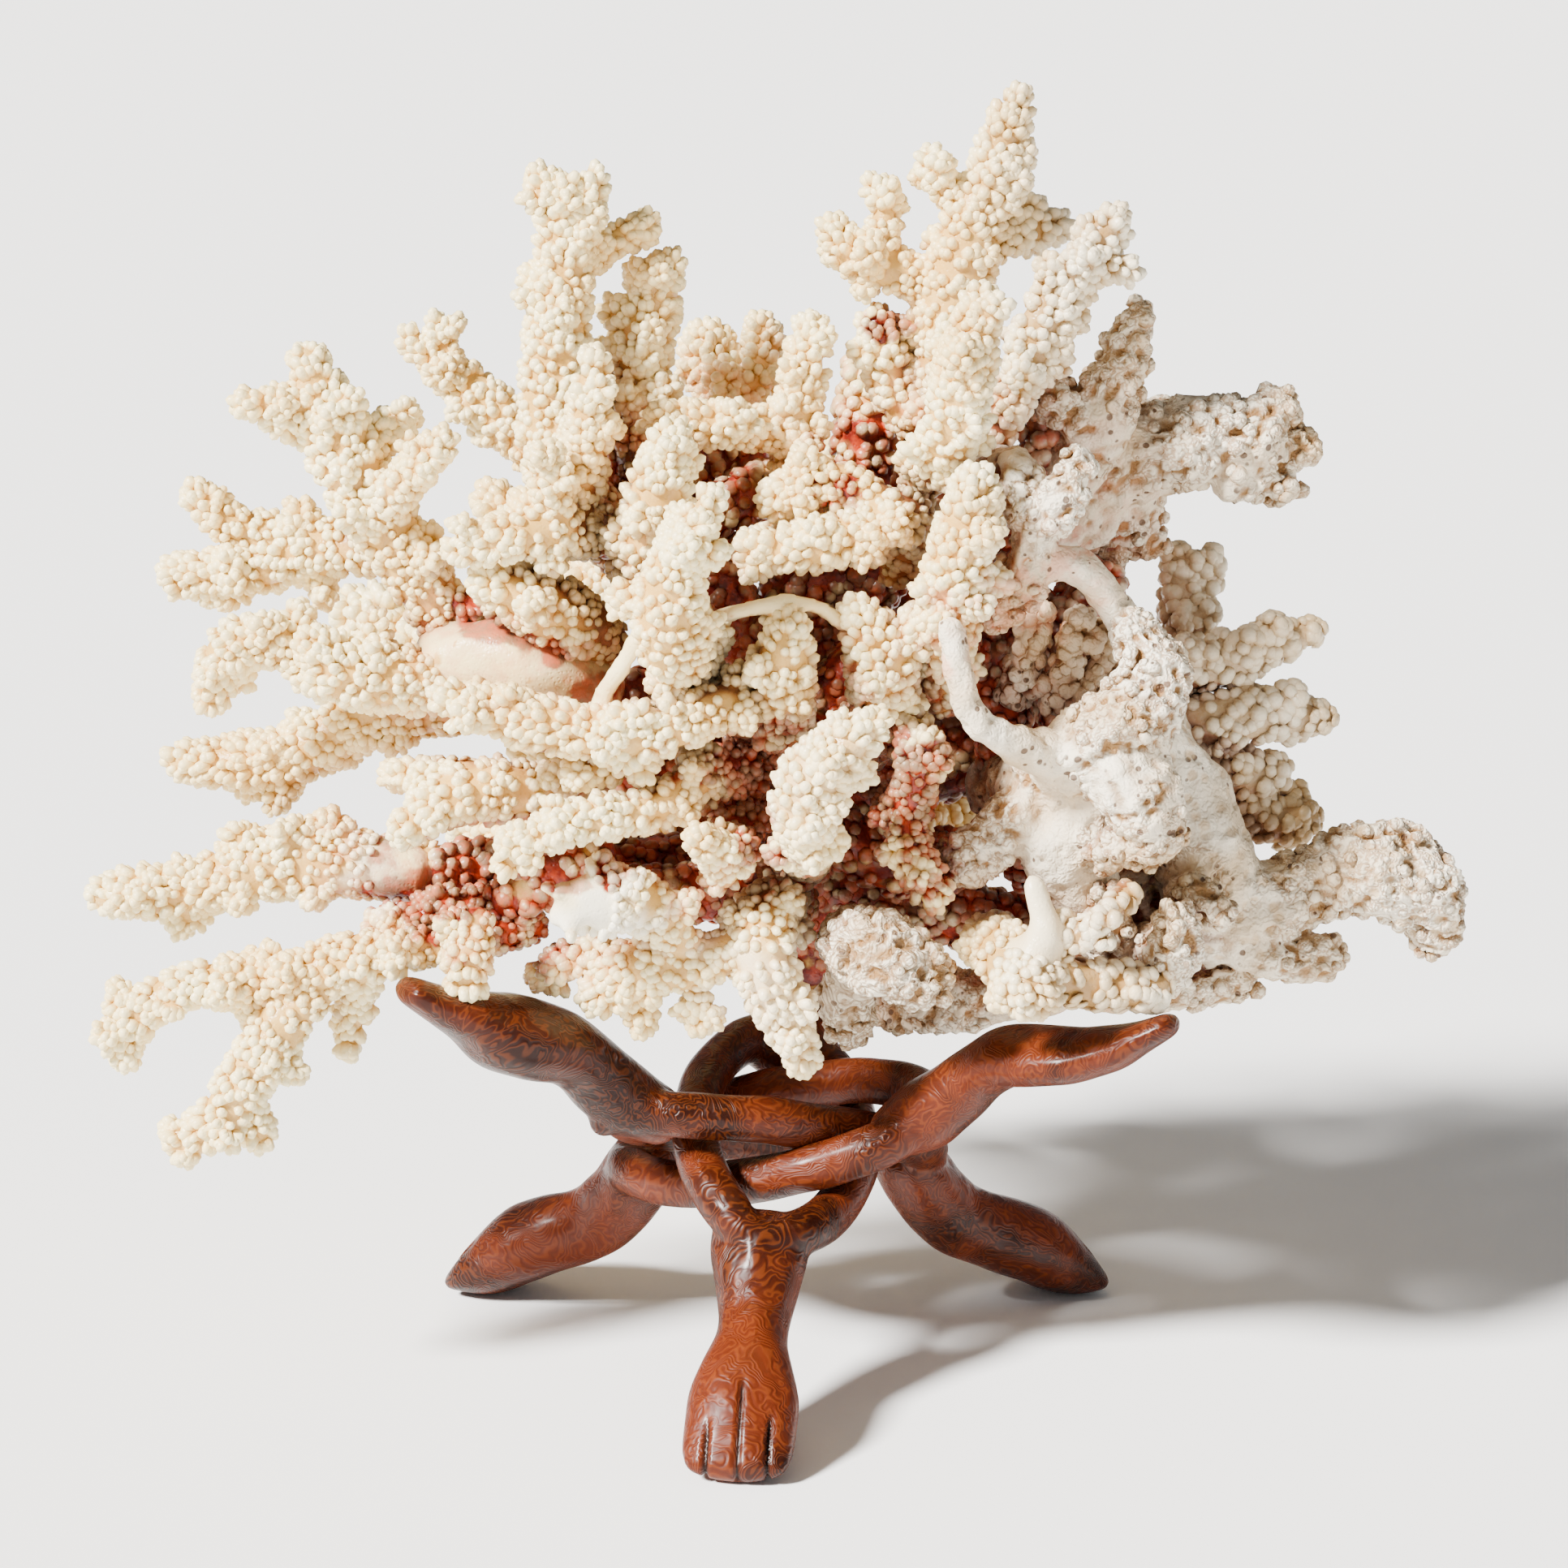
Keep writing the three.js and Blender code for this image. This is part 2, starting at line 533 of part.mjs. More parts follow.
    [[4, 158, 76, 12], [-4, 154, 104, 11], [-10, 146, 120, 9], [-12, 142, 132, 6]],
    [[0, 156, 92, 9], [14, 172, 104, 7], [18, 178, 114, 5]],
    [[-2, 156, 98, 9], [7, 132, 90, 10], [10, 112, 96, 8]],
  ],
  coral_rear_right_high: [
    [[34, 214, 34, 11], [50, 222, 62, 12], [64, 228, 84, 10], [74, 236, 100, 7]],
    [[54, 224, 68, 8], [60, 242, 74, 6]],
  ],
  coral_rear_right_side: [
    [[82, 182, 30, 11], [98, 188, 50, 11], [112, 196, 64, 8]],
    [[94, 186, 46, 8], [104, 172, 62, 7], [110, 166, 70, 5]],
  ],
  coral_rear_right_low: [
    [[30, 150, 40, 13], [52, 152, 66, 12], [74, 158, 88, 10], [86, 164, 102, 7]],
    [[58, 154, 72, 8], [70, 140, 88, 7]],
    [[54, 152, 66, 8], [44, 134, 84, 7]],
  ],
};

const BLEACHED_LIMBS = [
  "coral_eroded_spur", "coral_saddle", "coral_right_upper", "coral_right_rear", "coral_right_side",
  "coral_bleached_sheet", "coral_right_hook", "coral_right_foot", "coral_brain_plate",
];

function limbSolid(runs, grow, seed) {
  const chance = chanceSource(seed);
  const solids = runs.map((run) => branchSolid(run, grow, chance));
  return solids.reduce((whole, next) => whole.add(next));
}

// Putting the pieces together

// The triangles of a solid's largest body, as a three.js geometry. Crumbs cut loose are left out.
function largestBody(solid) {
  const { vertProperties, triVerts } = solid.getMesh();
  const root = Array.from({ length: vertProperties.length / 3 }, (_, index) => index);
  const find = (index) => {
    let at = index;
    while (root[at] !== at) {
      root[at] = root[root[at]];
      at = root[at];
    }
    return at;
  };
  for (let corner = 0; corner < triVerts.length; corner += 3) {
    root[find(triVerts[corner + 1])] = find(triVerts[corner]);
    root[find(triVerts[corner + 2])] = find(triVerts[corner]);
  }
  const count = new Map();
  for (const corner of triVerts) {
    count.set(find(corner), (count.get(find(corner)) ?? 0) + 1);
  }
  const main = [...count.entries()].sort((one, other) => other[1] - one[1])[0][0];
  const kept = triVerts.filter((corner) => find(corner) === main);
  const geometry = new THREE.BufferGeometry();
  geometry.setAttribute("position", new THREE.BufferAttribute(vertProperties.slice(), 3));
  geometry.setIndex(new THREE.BufferAttribute(kept, 1));
  return geometry.toNonIndexed();
}

const cutters = [];

function meets(one, other) {
  const a = one.boundingBox();
  const b = other.boundingBox();
  return [0, 1, 2].every((axis) => a.min[axis] < b.max[axis] && b.min[axis] < a.max[axis]);
}

// A piece gives way, by the gap, to every piece that is already there.
function fitPiece(specimen, name, build, look) {
  let solid = build(0);
  for (const cutter of cutters) {
    if (meets(solid, cutter)) {
      solid = solid.subtract(cutter);
    }
  }
  cutters.push(build(GAP));
  const geometry = largestBody(solid);
  geometry.computeVertexNormals();
  const mesh = new THREE.Mesh(geometry, new THREE.MeshStandardMaterial(look));
  mesh.name = name;
  specimen.add(mesh);
}

const specimen = new THREE.Group();
specimen.position.copy(CENTRE_OF_ALL).negate();

for (const [name, leg] of Object.entries(LEGS)) {
  fitPiece(specimen, name, (grow) => legSolid(leg, grow), BURL_WOOD);
}
fitPiece(specimen, "coral_stems", (grow) => limbSolid(STEMS, grow, 1), STAINED_CORAL);
Object.entries(LIMBS).forEach(([name, runs], index) => {
  const look = BLEACHED_LIMBS.includes(name) ? BLEACHED_CORAL : CREAM_CORAL;
  fitPiece(specimen, name, (grow) => limbSolid(runs, grow, index + 2), look);
});

export default specimen;
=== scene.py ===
"""Looks of a knobbly branching coral that rests on a stand of three interlocked burl-wood legs.

The branches are laid out on a front elevation of the specimen, as in the solid model. The bare
branches of each limb are fused into one smooth core by a voxel remesh. Thousands of round-headed
nubs, each a small closed shape, are then set on the skin of that core in the same mesh; worn limbs
have ridges and round pits instead of most of them. Masks kept at every point tell the finishes how
high a place stands and how crowded it is, which set painted shade in creases and hollows, and what
stains it.
"""

import logging
import math
from collections.abc import Iterator
from dataclasses import dataclass, field, replace
from enum import Enum

import bpy
import numpy as np
from mathutils import Euler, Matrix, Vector
from mathutils.bvhtree import BVHTree
from mathutils.kdtree import KDTree


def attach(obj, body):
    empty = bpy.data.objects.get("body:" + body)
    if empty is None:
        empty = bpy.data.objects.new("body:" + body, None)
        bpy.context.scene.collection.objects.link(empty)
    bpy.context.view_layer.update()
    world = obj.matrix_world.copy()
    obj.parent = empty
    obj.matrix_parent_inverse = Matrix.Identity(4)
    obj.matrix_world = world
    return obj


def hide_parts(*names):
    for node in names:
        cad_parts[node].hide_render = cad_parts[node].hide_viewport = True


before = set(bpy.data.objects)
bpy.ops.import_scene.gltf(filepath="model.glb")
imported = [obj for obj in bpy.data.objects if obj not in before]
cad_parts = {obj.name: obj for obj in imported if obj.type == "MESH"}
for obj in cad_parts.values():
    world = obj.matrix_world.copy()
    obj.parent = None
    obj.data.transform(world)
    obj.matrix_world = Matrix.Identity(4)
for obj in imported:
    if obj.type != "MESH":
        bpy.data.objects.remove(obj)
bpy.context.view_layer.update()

logging.basicConfig(level=logging.INFO, format="%(message)s")
LOG = logging.getLogger("specimen")

MM = 0.001
# Where the middle of the model and the eye lie in the layout, in millimetres.
CENTRE_OF_ALL = np.array([1.0, 18.0, 0.0])
VIEWPOINT = np.array([0.0, -1261.0, 476.0])
# Cells in which coral cores, worn limbs and legs are fused, in millimetres.
CORE_VOXEL = 1.7
WORN_VOXEL = 1.0
STAND_VOXEL = 0.9
# Rows compared at a time where every point is measured against every sample.
CHUNK = 20000

Run = list[list[float]]


class Coat(Enum):
    """How a stretch of coral is clothed."""

    KNOBBY = "knobby"
    LUMPY = "lumpy"
    WORN = "worn"
    SMOOTH = "smooth"


class Hue(Enum):
    """What colours a place on the coral."""

    RUST = "rust"
    SALMON = "salmon"
    WHITE = "white"


# Every run lists across, up, behind and radius on the front elevation, in millimetres.
STEM_RUNS: list[Run] = [
    [[12, 112, 30, 16], [6, 150, 24, 20], [2, 190, 18, 19], [18, 240, 14, 13]],
    [[0, 160, 20, 16], [-76, 197, -12, 12]],
    [[0, 185, 18, 15], [-44, 232, 2, 12]],
    [[8, 160, 22, 17], [58, 176, 14, 16], [86, 216, 10, 11]],
    [[8, 195, 20, 15], [46, 250, 2, 12]],
    [[0, 138, 22, 14], [-98, 137, -14, 11]],
    [[12, 136, 24, 14], [84, 116, 4, 12]],
    [[8, 150, 30, 15], [6, 158, 64, 13]],
]

LIMB_RUNS: dict[str, list[Run]] = {
    "coral_left_crown": [
        [[-74, 199, -14, 11], [-88, 207, -18, 12], [-99, 224, -22, 12], [-111, 243, -24, 13],
          [-119, 262, -24, 12], [-124, 277, -24, 7.5]],
        [[-116, 260, -24, 8], [-132, 265, -28, 8], [-141, 266, -30, 5.5]],
        [[-112, 250, -24, 8], [-104, 260, -20, 6], [-98, 261, -18, 5]],
        [[-106, 236, -28, 8], [-98, 246, -38, 8], [-89, 255, -44, 6]],
    ],
    "coral_left_fan": [
        [[-94, 223, -12, 10], [-112, 227, -8, 11], [-128, 226, -6, 11], [-142, 221, -6, 10],
          [-160, 219, -6, 8]],
        [[-132, 229, -6, 9], [-146, 233, -6, 8], [-155, 241, -6, 6]],
        [[-120, 225, -6, 5], [-122, 215, -6, 4.5]],
    ],
    "coral_left_middle": [
        [[-78, 190, -26, 12], [-98, 191, -30, 12], [-116, 193, -34, 12], [-124, 200, -36, 8]],
        [[-114, 190, -32, 10], [-136, 201, -30, 10], [-147, 199, -30, 10], [-152, 186, -30, 7]],
        [[-112, 196, -30, 7], [-108, 207, -30, 5]],
    ],
    "coral_left_arm": [
        [[-84, 184, -4, 12], [-108, 181, -2, 12], [-130, 170, 0, 11], [-148, 168, 0, 10],
          [-161, 168, 0, 7]],
        [[-130, 166, 0, 8], [-136, 157, 0, 5.5]],
        [[-48, 188, -26, 9], [-60, 192, -32, 10], [-74, 197, -32, 10], [-88, 196, -24, 11]],
    ],
    "coral_left_bough": [
        [[-99, 137, -16, 12], [-124, 140, -18, 14], [-144, 138, -18, 13], [-160, 132, -18, 10],
          [-174, 131, -18, 10], [-183, 131, -18, 7]],
        [[-156, 132, -18, 8], [-163, 122, -18, 5]],
        [[-68, 129, -20, 9], [-86, 126, -26, 9], [-102, 124, -28, 7], [-110, 123, -28, 4.5]],
    ],
    "coral_left_low": [
        [[-66, 122, -22, 8], [-80, 118, -34, 8], [-98, 115, -38, 8], [-116, 112, -38, 11],
          [-137, 106, -38, 9], [-152, 107, -38, 8], [-167, 102, -38, 8], [-177, 94, -38, 8],
          [-179, 84, -38, 6]],
        [[-170, 100, -38, 7], [-180, 99, -38, 6]],
        [[-114, 108, -32, 7], [-117, 92, -28, 6], [-118, 87, -28, 5]],
        [[-82, 124, -46, 8], [-84, 114, -50, 9], [-85, 105, -50, 8]],
    ],
    "coral_left_hanging": [
        [[-124, 106, -38, 9], [-137, 92, -40, 11], [-146, 78, -42, 11], [-155, 66, -44, 9],
          [-163, 58, -44, 7]],
        [[-146, 74, -42, 8], [-143, 62, -42, 7]],
    ],
    "coral_left_shoulder": [
        [[-46, 200, -22, 12], [-58, 208, -34, 14], [-69, 214, -40, 11], [-79, 217, -42, 6]],
    ],
    "coral_left_cheek": [
        [[-52, 158, -10, 10], [-66, 160, -34, 11], [-88, 158, -42, 10], [-101, 149, -44, 7]],
        [[-84, 164, -36, 8], [-96, 164, -30, 7], [-104, 164, -26, 5]],
    ],
    "coral_top_left": [
        [[-44, 230, -6, 12], [-55, 245, -14, 13], [-59, 265, -14, 13], [-58, 286, -12, 12],
          [-56, 304, -10, 10], [-58, 318, -10, 8], [-62, 326, -10, 5.5]],
        [[-55, 299, -10, 8], [-51, 315, -10, 7], [-48, 325, -10, 5]],
        [[-54, 301, -6, 7], [-43, 309, -2, 6], [-34, 314, 0, 5]],
        [[-58, 280, -14, 8], [-62, 294, -14, 5], [-61, 300, -14, 4]],
    ],
    "coral_top_middle": [
        [[-34, 234, 4, 11], [-37, 260, 4, 12], [-36, 280, 4, 11], [-31, 297, 4, 9],
          [-28, 303, 4, 6]],
    ],
    "coral_top_front": [
        [[-54, 236, -32, 8], [-50, 256, -36, 8], [-49, 272, -38, 7], [-48, 278, -38, 5]],
        [[-48, 230, -26, 10], [-64, 231, -44, 10], [-78, 228, -46, 8], [-86, 226, -46, 5]],
        [[-58, 234, -42, 8], [-61, 246, -46, 7], [-60, 253, -46, 5]],
    ],
    "coral_middle_left": [
        [[-22, 206, -14, 10], [-33, 222, -36, 12], [-32, 240, -42, 12], [-28, 256, -42, 8]],
    ],
    "coral_front_lobe": [
        [[-20, 192, -28, 10], [-28, 202, -60, 14], [-28, 217, -66, 12], [-22, 231, -68, 8],
          [-17, 241, -68, 5]],
        [[-30, 210, -62, 9], [-41, 214, -60, 6]],
    ],
    "coral_back_left_sprig": [
        [[-52, 240, 30, 9], [-70, 260, 36, 9], [-84, 272, 40, 8], [-97, 283, 40, 5]],
        [[-84, 272, 40, 6], [-90, 287, 40, 4.5]],
    ],
    "coral_top_cluster": [
        [[-4, 238, 26, 10], [-12, 262, 34, 11], [-18, 281, 36, 10]],
        [[-11, 264, 34, 9], [-4, 278, 34, 9], [-4, 286, 34, 6]],
    ],
    "coral_centre_band": [
        [[8, 232, -4, 9], [4, 256, -14, 9], [8, 276, -12, 8], [9, 286, -10, 6]],
        [[4, 258, -14, 9], [-14, 260, -22, 9], [-31, 261, -24, 7]],
    ],
    "coral_top_right": [
        [[44, 248, -2, 12], [46, 270, -8, 13], [47, 290, -10, 13], [50, 308, -10, 12],
          [56, 325, -10, 9], [60, 338, -10, 8], [63, 346, -10, 6]],
        [[42, 256, -4, 11], [32, 270, -6, 10], [27, 286, -8, 8]],
        [[45, 296, -8, 9], [32, 301, -8, 9], [20, 306, -8, 8], [15, 312, -8, 6]],
        [[28, 303, -8, 7], [28, 316, -8, 6], [29, 323, -8, 4]],
        [[50, 316, -10, 7], [42, 326, -10, 6], [40, 331, -10, 5]],
        [[56, 320, -10, 7], [64, 332, -10, 6]],
        [[54, 306, -8, 8], [66, 312, -4, 7], [74, 313, -2, 6]],
    ],
    "coral_top_front_lobe": [
        [[38, 244, -12, 9], [46, 258, -42, 11], [51, 280, -48, 10], [54, 293, -46, 7]],
    ],
    "coral_right_antler": [
        [[54, 252, -10, 9], [65, 272, -20, 9], [70, 288, -22, 9], [77, 299, -22, 8],
          [86, 303, -22, 7], [93, 301, -22, 5]],
        [[77, 298, -22, 7], [86, 311, -22, 7], [89, 316, -22, 5]],
        [[69, 284, -22, 6], [79, 288, -22, 5]],
    ],
    "coral_centre_shelf": [
        [[34, 222, -10, 11], [34, 236, -30, 10], [22, 230, -36, 10], [8, 227, -40, 9],
          [-7, 227, -40, 7]],
        [[28, 238, -30, 9], [14, 245, -28, 9], [0, 240, -30, 8]],
    ],
    "coral_centre_lobe": [
        [[44, 186, -14, 10], [46, 206, -42, 12], [49, 224, -50, 12], [53, 243, -52, 9]],
    ],
    "coral_mid_right_cluster": [
        [[24, 172, -8, 11], [28, 184, -34, 12], [28, 197, -42, 13], [22, 208, -44, 8]],
        [[28, 196, -42, 9], [38, 207, -44, 7]],
    ],
    "coral_mid_cluster": [
        [[2, 168, -12, 11], [2, 182, -40, 11], [1, 194, -50, 12], [4, 205, -52, 7]],
        [[-22, 206, -46, 2.6], [-12, 209, -50, 2.4], [4, 212, -50, 2.6], [10, 211, -48, 2.4],
          [18, 206, -44, 2.8]],
    ],
    "coral_front_long": [
        [[-6, 178, -10, 10], [-14, 183, -50, 10], [-34, 176, -58, 10], [-52, 176, -58, 10],
          [-70, 180, -58, 10], [-90, 186, -58, 6]],
        [[-30, 176, -56, 7], [-40, 168, -52, 7], [-55, 164, -52, 5]],
        [[-48, 184, -54, 3.2], [-42, 194, -58, 2.6], [-36, 204, -60, 3]],
    ],
    "coral_front_curved": [
        [[-6, 150, -4, 9], [-14, 166, -36, 8], [-36, 154, -56, 8], [-54, 151, -62, 8],
          [-66, 146, -64, 7], [-74, 138, -64, 4]],
        [[-10, 158, -26, 8], [-12, 141, -48, 9], [-21, 146, -64, 6]],
    ],
    "coral_front_white": [
        [[8, 140, -10, 10], [8, 148, -56, 11], [8, 160, -64, 13], [16, 170, -66, 11],
          [27, 179, -66, 6]],
    ],
    "coral_pink_stalk": [
        [[30, 150, -6, 8], [36, 158, -36, 8], [40, 170, -42, 8], [36, 180, -38, 6]],
        [[36, 158, -38, 6], [36, 144, -44, 8], [42, 132, -46, 8]],
    ],
    "coral_bottom_front": [
        [[4, 128, 0, 11], [-3, 124, -40, 11], [-3, 110, -48, 12], [2, 97, -46, 10],
          [7, 84, -44, 7]],
        [[-6, 116, -44, 9], [-24, 111, -42, 11], [-38, 111, -40, 10], [-49, 102, -36, 8]],
        [[-36, 108, -40, 7], [-37, 94, -38, 5.5]],
        [[-22, 106, -42, 6], [-21, 94, -40, 5]],
        [[-40, 112, -38, 8], [-58, 112, -30, 7], [-65, 107, -26, 6]],
        [[-26, 118, -46, 9], [-36, 127, -54, 11.5], [-46, 130, -58, 12], [-54, 128, -60, 10],
          [-60, 124, -60, 6]],
    ],
    "coral_brain_plate": [
        [[28, 118, 0, 9], [20, 118, -34, 9], [30, 113, -56, 12], [38, 108, -58, 10]],
        [[22, 112, -30, 8], [19, 102, -20, 8], [20, 94, -18, 7]],
    ],
    "coral_eroded_spur": [
        [[72, 240, 0, 10], [84, 256, -6, 9], [89, 270, -8, 9], [96, 289, -8, 5]],
        [[86, 258, -8, 8], [74, 267, -12, 7]],
    ],
    "coral_saddle": [
        [[56, 246, -8, 7], [64, 247, -36, 7], [70, 234, -42, 7], [76, 240, -44, 7],
          [80, 250, -42, 5]],
        [[70, 234, -42, 7], [66, 218, -38, 7], [58, 210, -34, 7]],
        [[68, 222, -38, 6], [80, 222, -36, 5], [90, 212, -32, 5], [95, 202, -30, 5]],
    ],
    "coral_right_upper": [
        [[72, 232, 8, 13], [90, 250, 8, 14], [108, 255, 6, 13], [124, 256, 5, 12],
          [133, 264, 5, 7]],
        [[124, 254, 5, 10], [139, 255, 5, 6]],
        [[122, 248, 5, 10], [134, 244, 5, 6]],
        [[92, 244, 16, 12], [89, 230, 22, 9], [87, 221, 22, 6]],
        [[94, 244, 16, 10], [99, 229, 20, 6]],
    ],
    "coral_right_rear": [
        [[96, 190, 20, 10], [110, 200, 28, 10], [109, 214, 30, 9], [107, 224, 30, 6]],
        [[110, 206, 30, 8], [116, 223, 30, 6]],
        [[92, 192, 16, 10], [110, 193, 8, 9], [124, 196, 8, 9], [134, 201, 8, 8], [145, 204, 8, 5]],
        [[128, 198, 8, 7], [133, 206, 8, 5]],
    ],
    "coral_right_side": [
        [[96, 178, 14, 12], [112, 178, 6, 11], [130, 181, 6, 10], [147, 180, 6, 6]],
        [[100, 172, 12, 11], [120, 165, 10, 11], [134, 165, 10, 8]],
        [[118, 162, 12, 10], [136, 151, 15, 10], [144, 151, 15, 7]],
    ],
    "coral_bleached_sheet": [
        [[60, 160, -4, 10], [76, 166, -36, 11], [94, 178, -46, 13], [102, 192, -42, 10],
          [96, 204, -36, 7]],
        [[90, 170, -44, 12], [98, 160, -50, 12], [103, 148, -50, 9], [91, 142, -46, 6]],
        [[78, 168, -40, 9], [62, 174, -56, 5], [52, 182, -60, 4.5], [47, 204, -58, 4]],
        [[72, 164, -28, 9], [62, 148, -34, 9], [50, 140, -36, 8]],
        [[64, 186, -8, 8], [68, 200, -16, 6.5], [70, 209, -18, 5.5]],
        [[92, 172, -34, 10], [84, 156, -34, 11], [78, 142, -34, 11], [84, 132, -30, 10]],
        [[76, 184, -14, 7.5], [79, 198, -20, 6.5], [82, 208, -22, 5]],
        [[86, 190, -14, 7.5], [92, 203, -18, 6]],
    ],
    "coral_right_hook": [
        [[92, 122, 4, 12], [112, 122, -4, 13], [130, 127, -8, 13], [146, 134, -10, 11.5],
          [160, 138, -10, 13], [171, 135, -10, 13.5], [178, 128, -10, 11.5], [180, 121, -10, 8]],
        [[124, 120, -8, 10], [140, 113, -12, 8], [149, 113, -12, 6.5]],
        [[112, 127, -8, 8], [114, 131, -34, 6], [121, 126, -38, 5]],
        [[100, 178, -4, 11], [106, 164, -8, 13], [114, 148, -12, 14], [118, 134, -12, 14]],
        [[92, 128, -2, 11], [98, 144, -8, 10], [110, 148, -6, 8]],
    ],
    "coral_right_foot": [
        [[86, 108, 8, 12], [100, 110, -20, 11], [108, 116, -44, 9], [109, 123, -46, 6]],
        [[96, 112, -24, 9], [90, 122, -38, 8], [90, 129, -40, 5]],
        [[96, 106, -10, 9], [112, 105, -8, 8], [126, 107, -8, 6]],
        [[80, 108, 10, 10], [56, 101, 18, 9], [34, 99, 20, 8]],
    ],
    "coral_cream_lumps": [
        [[60, 120, -6, 9], [62, 114, -50, 11], [69, 105, -62, 13]],
        [[70, 112, -58, 8], [73, 122, -60, 4.5], [70, 133, -58, 3.5]],
        [[76, 106, -58, 9], [90, 105, -52, 10], [104, 104, -50, 7]],
        [[74, 114, -54, 7], [83, 119, -58, 6.5], [89, 124, -58, 5], [96, 131, -52, 5]],
    ],
    "coral_rear_left_high": [
        [[-26, 212, 24, 11], [-46, 222, 56, 12], [-64, 230, 82, 10], [-76, 240, 98, 7]],
        [[-52, 224, 62, 8], [-58, 244, 66, 6]],
        [[-58, 226, 74, 8], [-76, 218, 84, 6]],
    ],
    "coral_rear_left_side": [
        [[-62, 190, 14, 11], [-84, 194, 44, 11], [-104, 204, 60, 9], [-114, 211, 68, 7]],
        [[-88, 196, 48, 8], [-95, 190, 64, 5]],
    ],
    "coral_rear_left_low": [
        [[-24, 150, 40, 12], [-46, 150, 66, 12], [-70, 150, 88, 10], [-84, 148, 104, 7]],
        [[-56, 150, 74, 8], [-58, 134, 88, 6]],
        [[-52, 150, 70, 8], [-64, 170, 78, 6]],
    ],
    "coral_rear_middle_high": [
        [[6, 218, 36, 12], [2, 236, 62, 12], [-6, 248, 86, 10], [-10, 254, 102, 7]],
        [[0, 240, 70, 8], [16, 252, 78, 6]],
        [[4, 222, 52, 10], [6, 204, 88, 9], [8, 196, 106, 7]],
    ],
    "coral_rear_middle_low": [
        [[4, 158, 76, 12], [-4, 154, 104, 11], [-10, 146, 120, 9], [-12, 142, 132, 6]],
        [[0, 156, 92, 9], [14, 172, 104, 7], [18, 178, 114, 5]],
        [[-2, 156, 98, 9], [7, 132, 90, 10], [10, 112, 96, 8]],
    ],
    "coral_rear_right_high": [
        [[34, 214, 34, 11], [50, 222, 62, 12], [64, 228, 84, 10], [74, 236, 100, 7]],
        [[54, 224, 68, 8], [60, 242, 74, 6]],
    ],
    "coral_rear_right_side": [
        [[82, 182, 30, 11], [98, 188, 50, 11], [112, 196, 64, 8]],
        [[94, 186, 46, 8], [104, 172, 62, 7], [110, 166, 70, 5]],
    ],
    "coral_rear_right_low": [
        [[30, 150, 40, 13], [52, 152, 66, 12], [74, 158, 88, 10], [86, 164, 102, 7]],
        [[58, 154, 72, 8], [70, 140, 88, 7]],
        [[54, 152, 66, 8], [44, 134, 84, 7]],
    ],
}

# Short branches deep in the colony that close its gaps; they belong to the stems.
DEEP_RUNS: list[Run] = [
    [[20, 214, 24, 13], [23, 240, 26, 12], [24, 262, 26, 12], [22, 274, 28, 7]],
    [[-10, 196, 6, 13], [-14, 212, 2, 12], [-16, 226, 4, 10]],
    [[-30, 186, 4, 12], [-44, 184, 2, 12], [-60, 178, 6, 10]],
    [[14, 184, -6, 11], [22, 194, -8, 11], [36, 200, -4, 11], [50, 196, 0, 10]],
    [[-20, 162, 0, 12], [-42, 164, -4, 12], [-58, 150, -8, 11]],
    [[14, 150, -8, 12], [30, 140, -12, 12], [46, 140, -12, 12]],
    [[-10, 132, -4, 12], [-34, 130, -10, 12], [-54, 130, -14, 11]],
    [[56, 190, 4, 12], [62, 176, -2, 12], [64, 158, -4, 13], [72, 140, -2, 13]],
    [[64, 222, 0, 11], [72, 240, 0, 10], [70, 262, -4, 7]],
    [[-50, 142, -18, 13], [-62, 136, -26, 13], [-72, 129, -28, 10]],
    [[-32, 234, 20, 9], [-20, 248, 24, 10], [-14, 254, 26, 8]],
    [[50, 192, 4, 10], [61, 202, 8, 11], [72, 208, 10, 9]],
    [[-22, 232, 0, 9], [-10, 240, 0, 10], [2, 244, 2, 9]],
    [[-52, 236, 6, 9], [-45, 246, 8, 9], [-42, 254, 8, 7]],
]

WORN_LIMBS = {
    "coral_eroded_spur", "coral_saddle", "coral_right_upper", "coral_bleached_sheet",
    "coral_right_hook", "coral_right_foot", "coral_brain_plate",
}
BLEACHED_LIMBS = WORN_LIMBS | {"coral_right_rear", "coral_right_side"}
# Runs without nubs, and runs with low lumps, by limb and place in its list.
BARE_RUNS = {
    ("coral_saddle", 2), ("coral_bleached_sheet", 2), ("coral_cream_lumps", 1),
    ("coral_mid_cluster", 1), ("coral_front_long", 2), ("coral_left_arm", 2),
    ("coral_right_hook", 3), ("coral_bleached_sheet", 5),
}
LUMPY_RUNS = {
    ("coral_bleached_sheet", 4), ("coral_bleached_sheet", 6), ("coral_bleached_sheet", 7),
    ("coral_cream_lumps", 2), ("coral_cream_lumps", 3),
}


def unit(vectors: np.ndarray) -> np.ndarray:
    """Each row of the array, made one long."""
    return vectors / np.maximum(np.linalg.norm(vectors, axis=-1, keepdims=True), 1e-9)


def in_chunks(count: int) -> Iterator[slice]:
    """Slices that cover count rows, a chunk at a time."""
    return (slice(start, start + CHUNK) for start in range(0, count, CHUNK))


def on_sight_line(stops: Run) -> np.ndarray:
    """Moves points of the front elevation to their depth along their sight lines.

    Args:
        stops: across, up, behind and radius of each point, in millimetres.

    Returns:
        x, y, z and radius of each point, in millimetres in the row frame.
    """
    across, up, behind, radius = np.array(stops, float).T
    reach = (behind - VIEWPOINT[1]) / -VIEWPOINT[1]
    sheet = np.stack([across, np.zeros_like(across), up], 1)
    points = VIEWPOINT + (sheet - VIEWPOINT) * reach[:, None] - CENTRE_OF_ALL
    return np.column_stack([points, radius * reach])


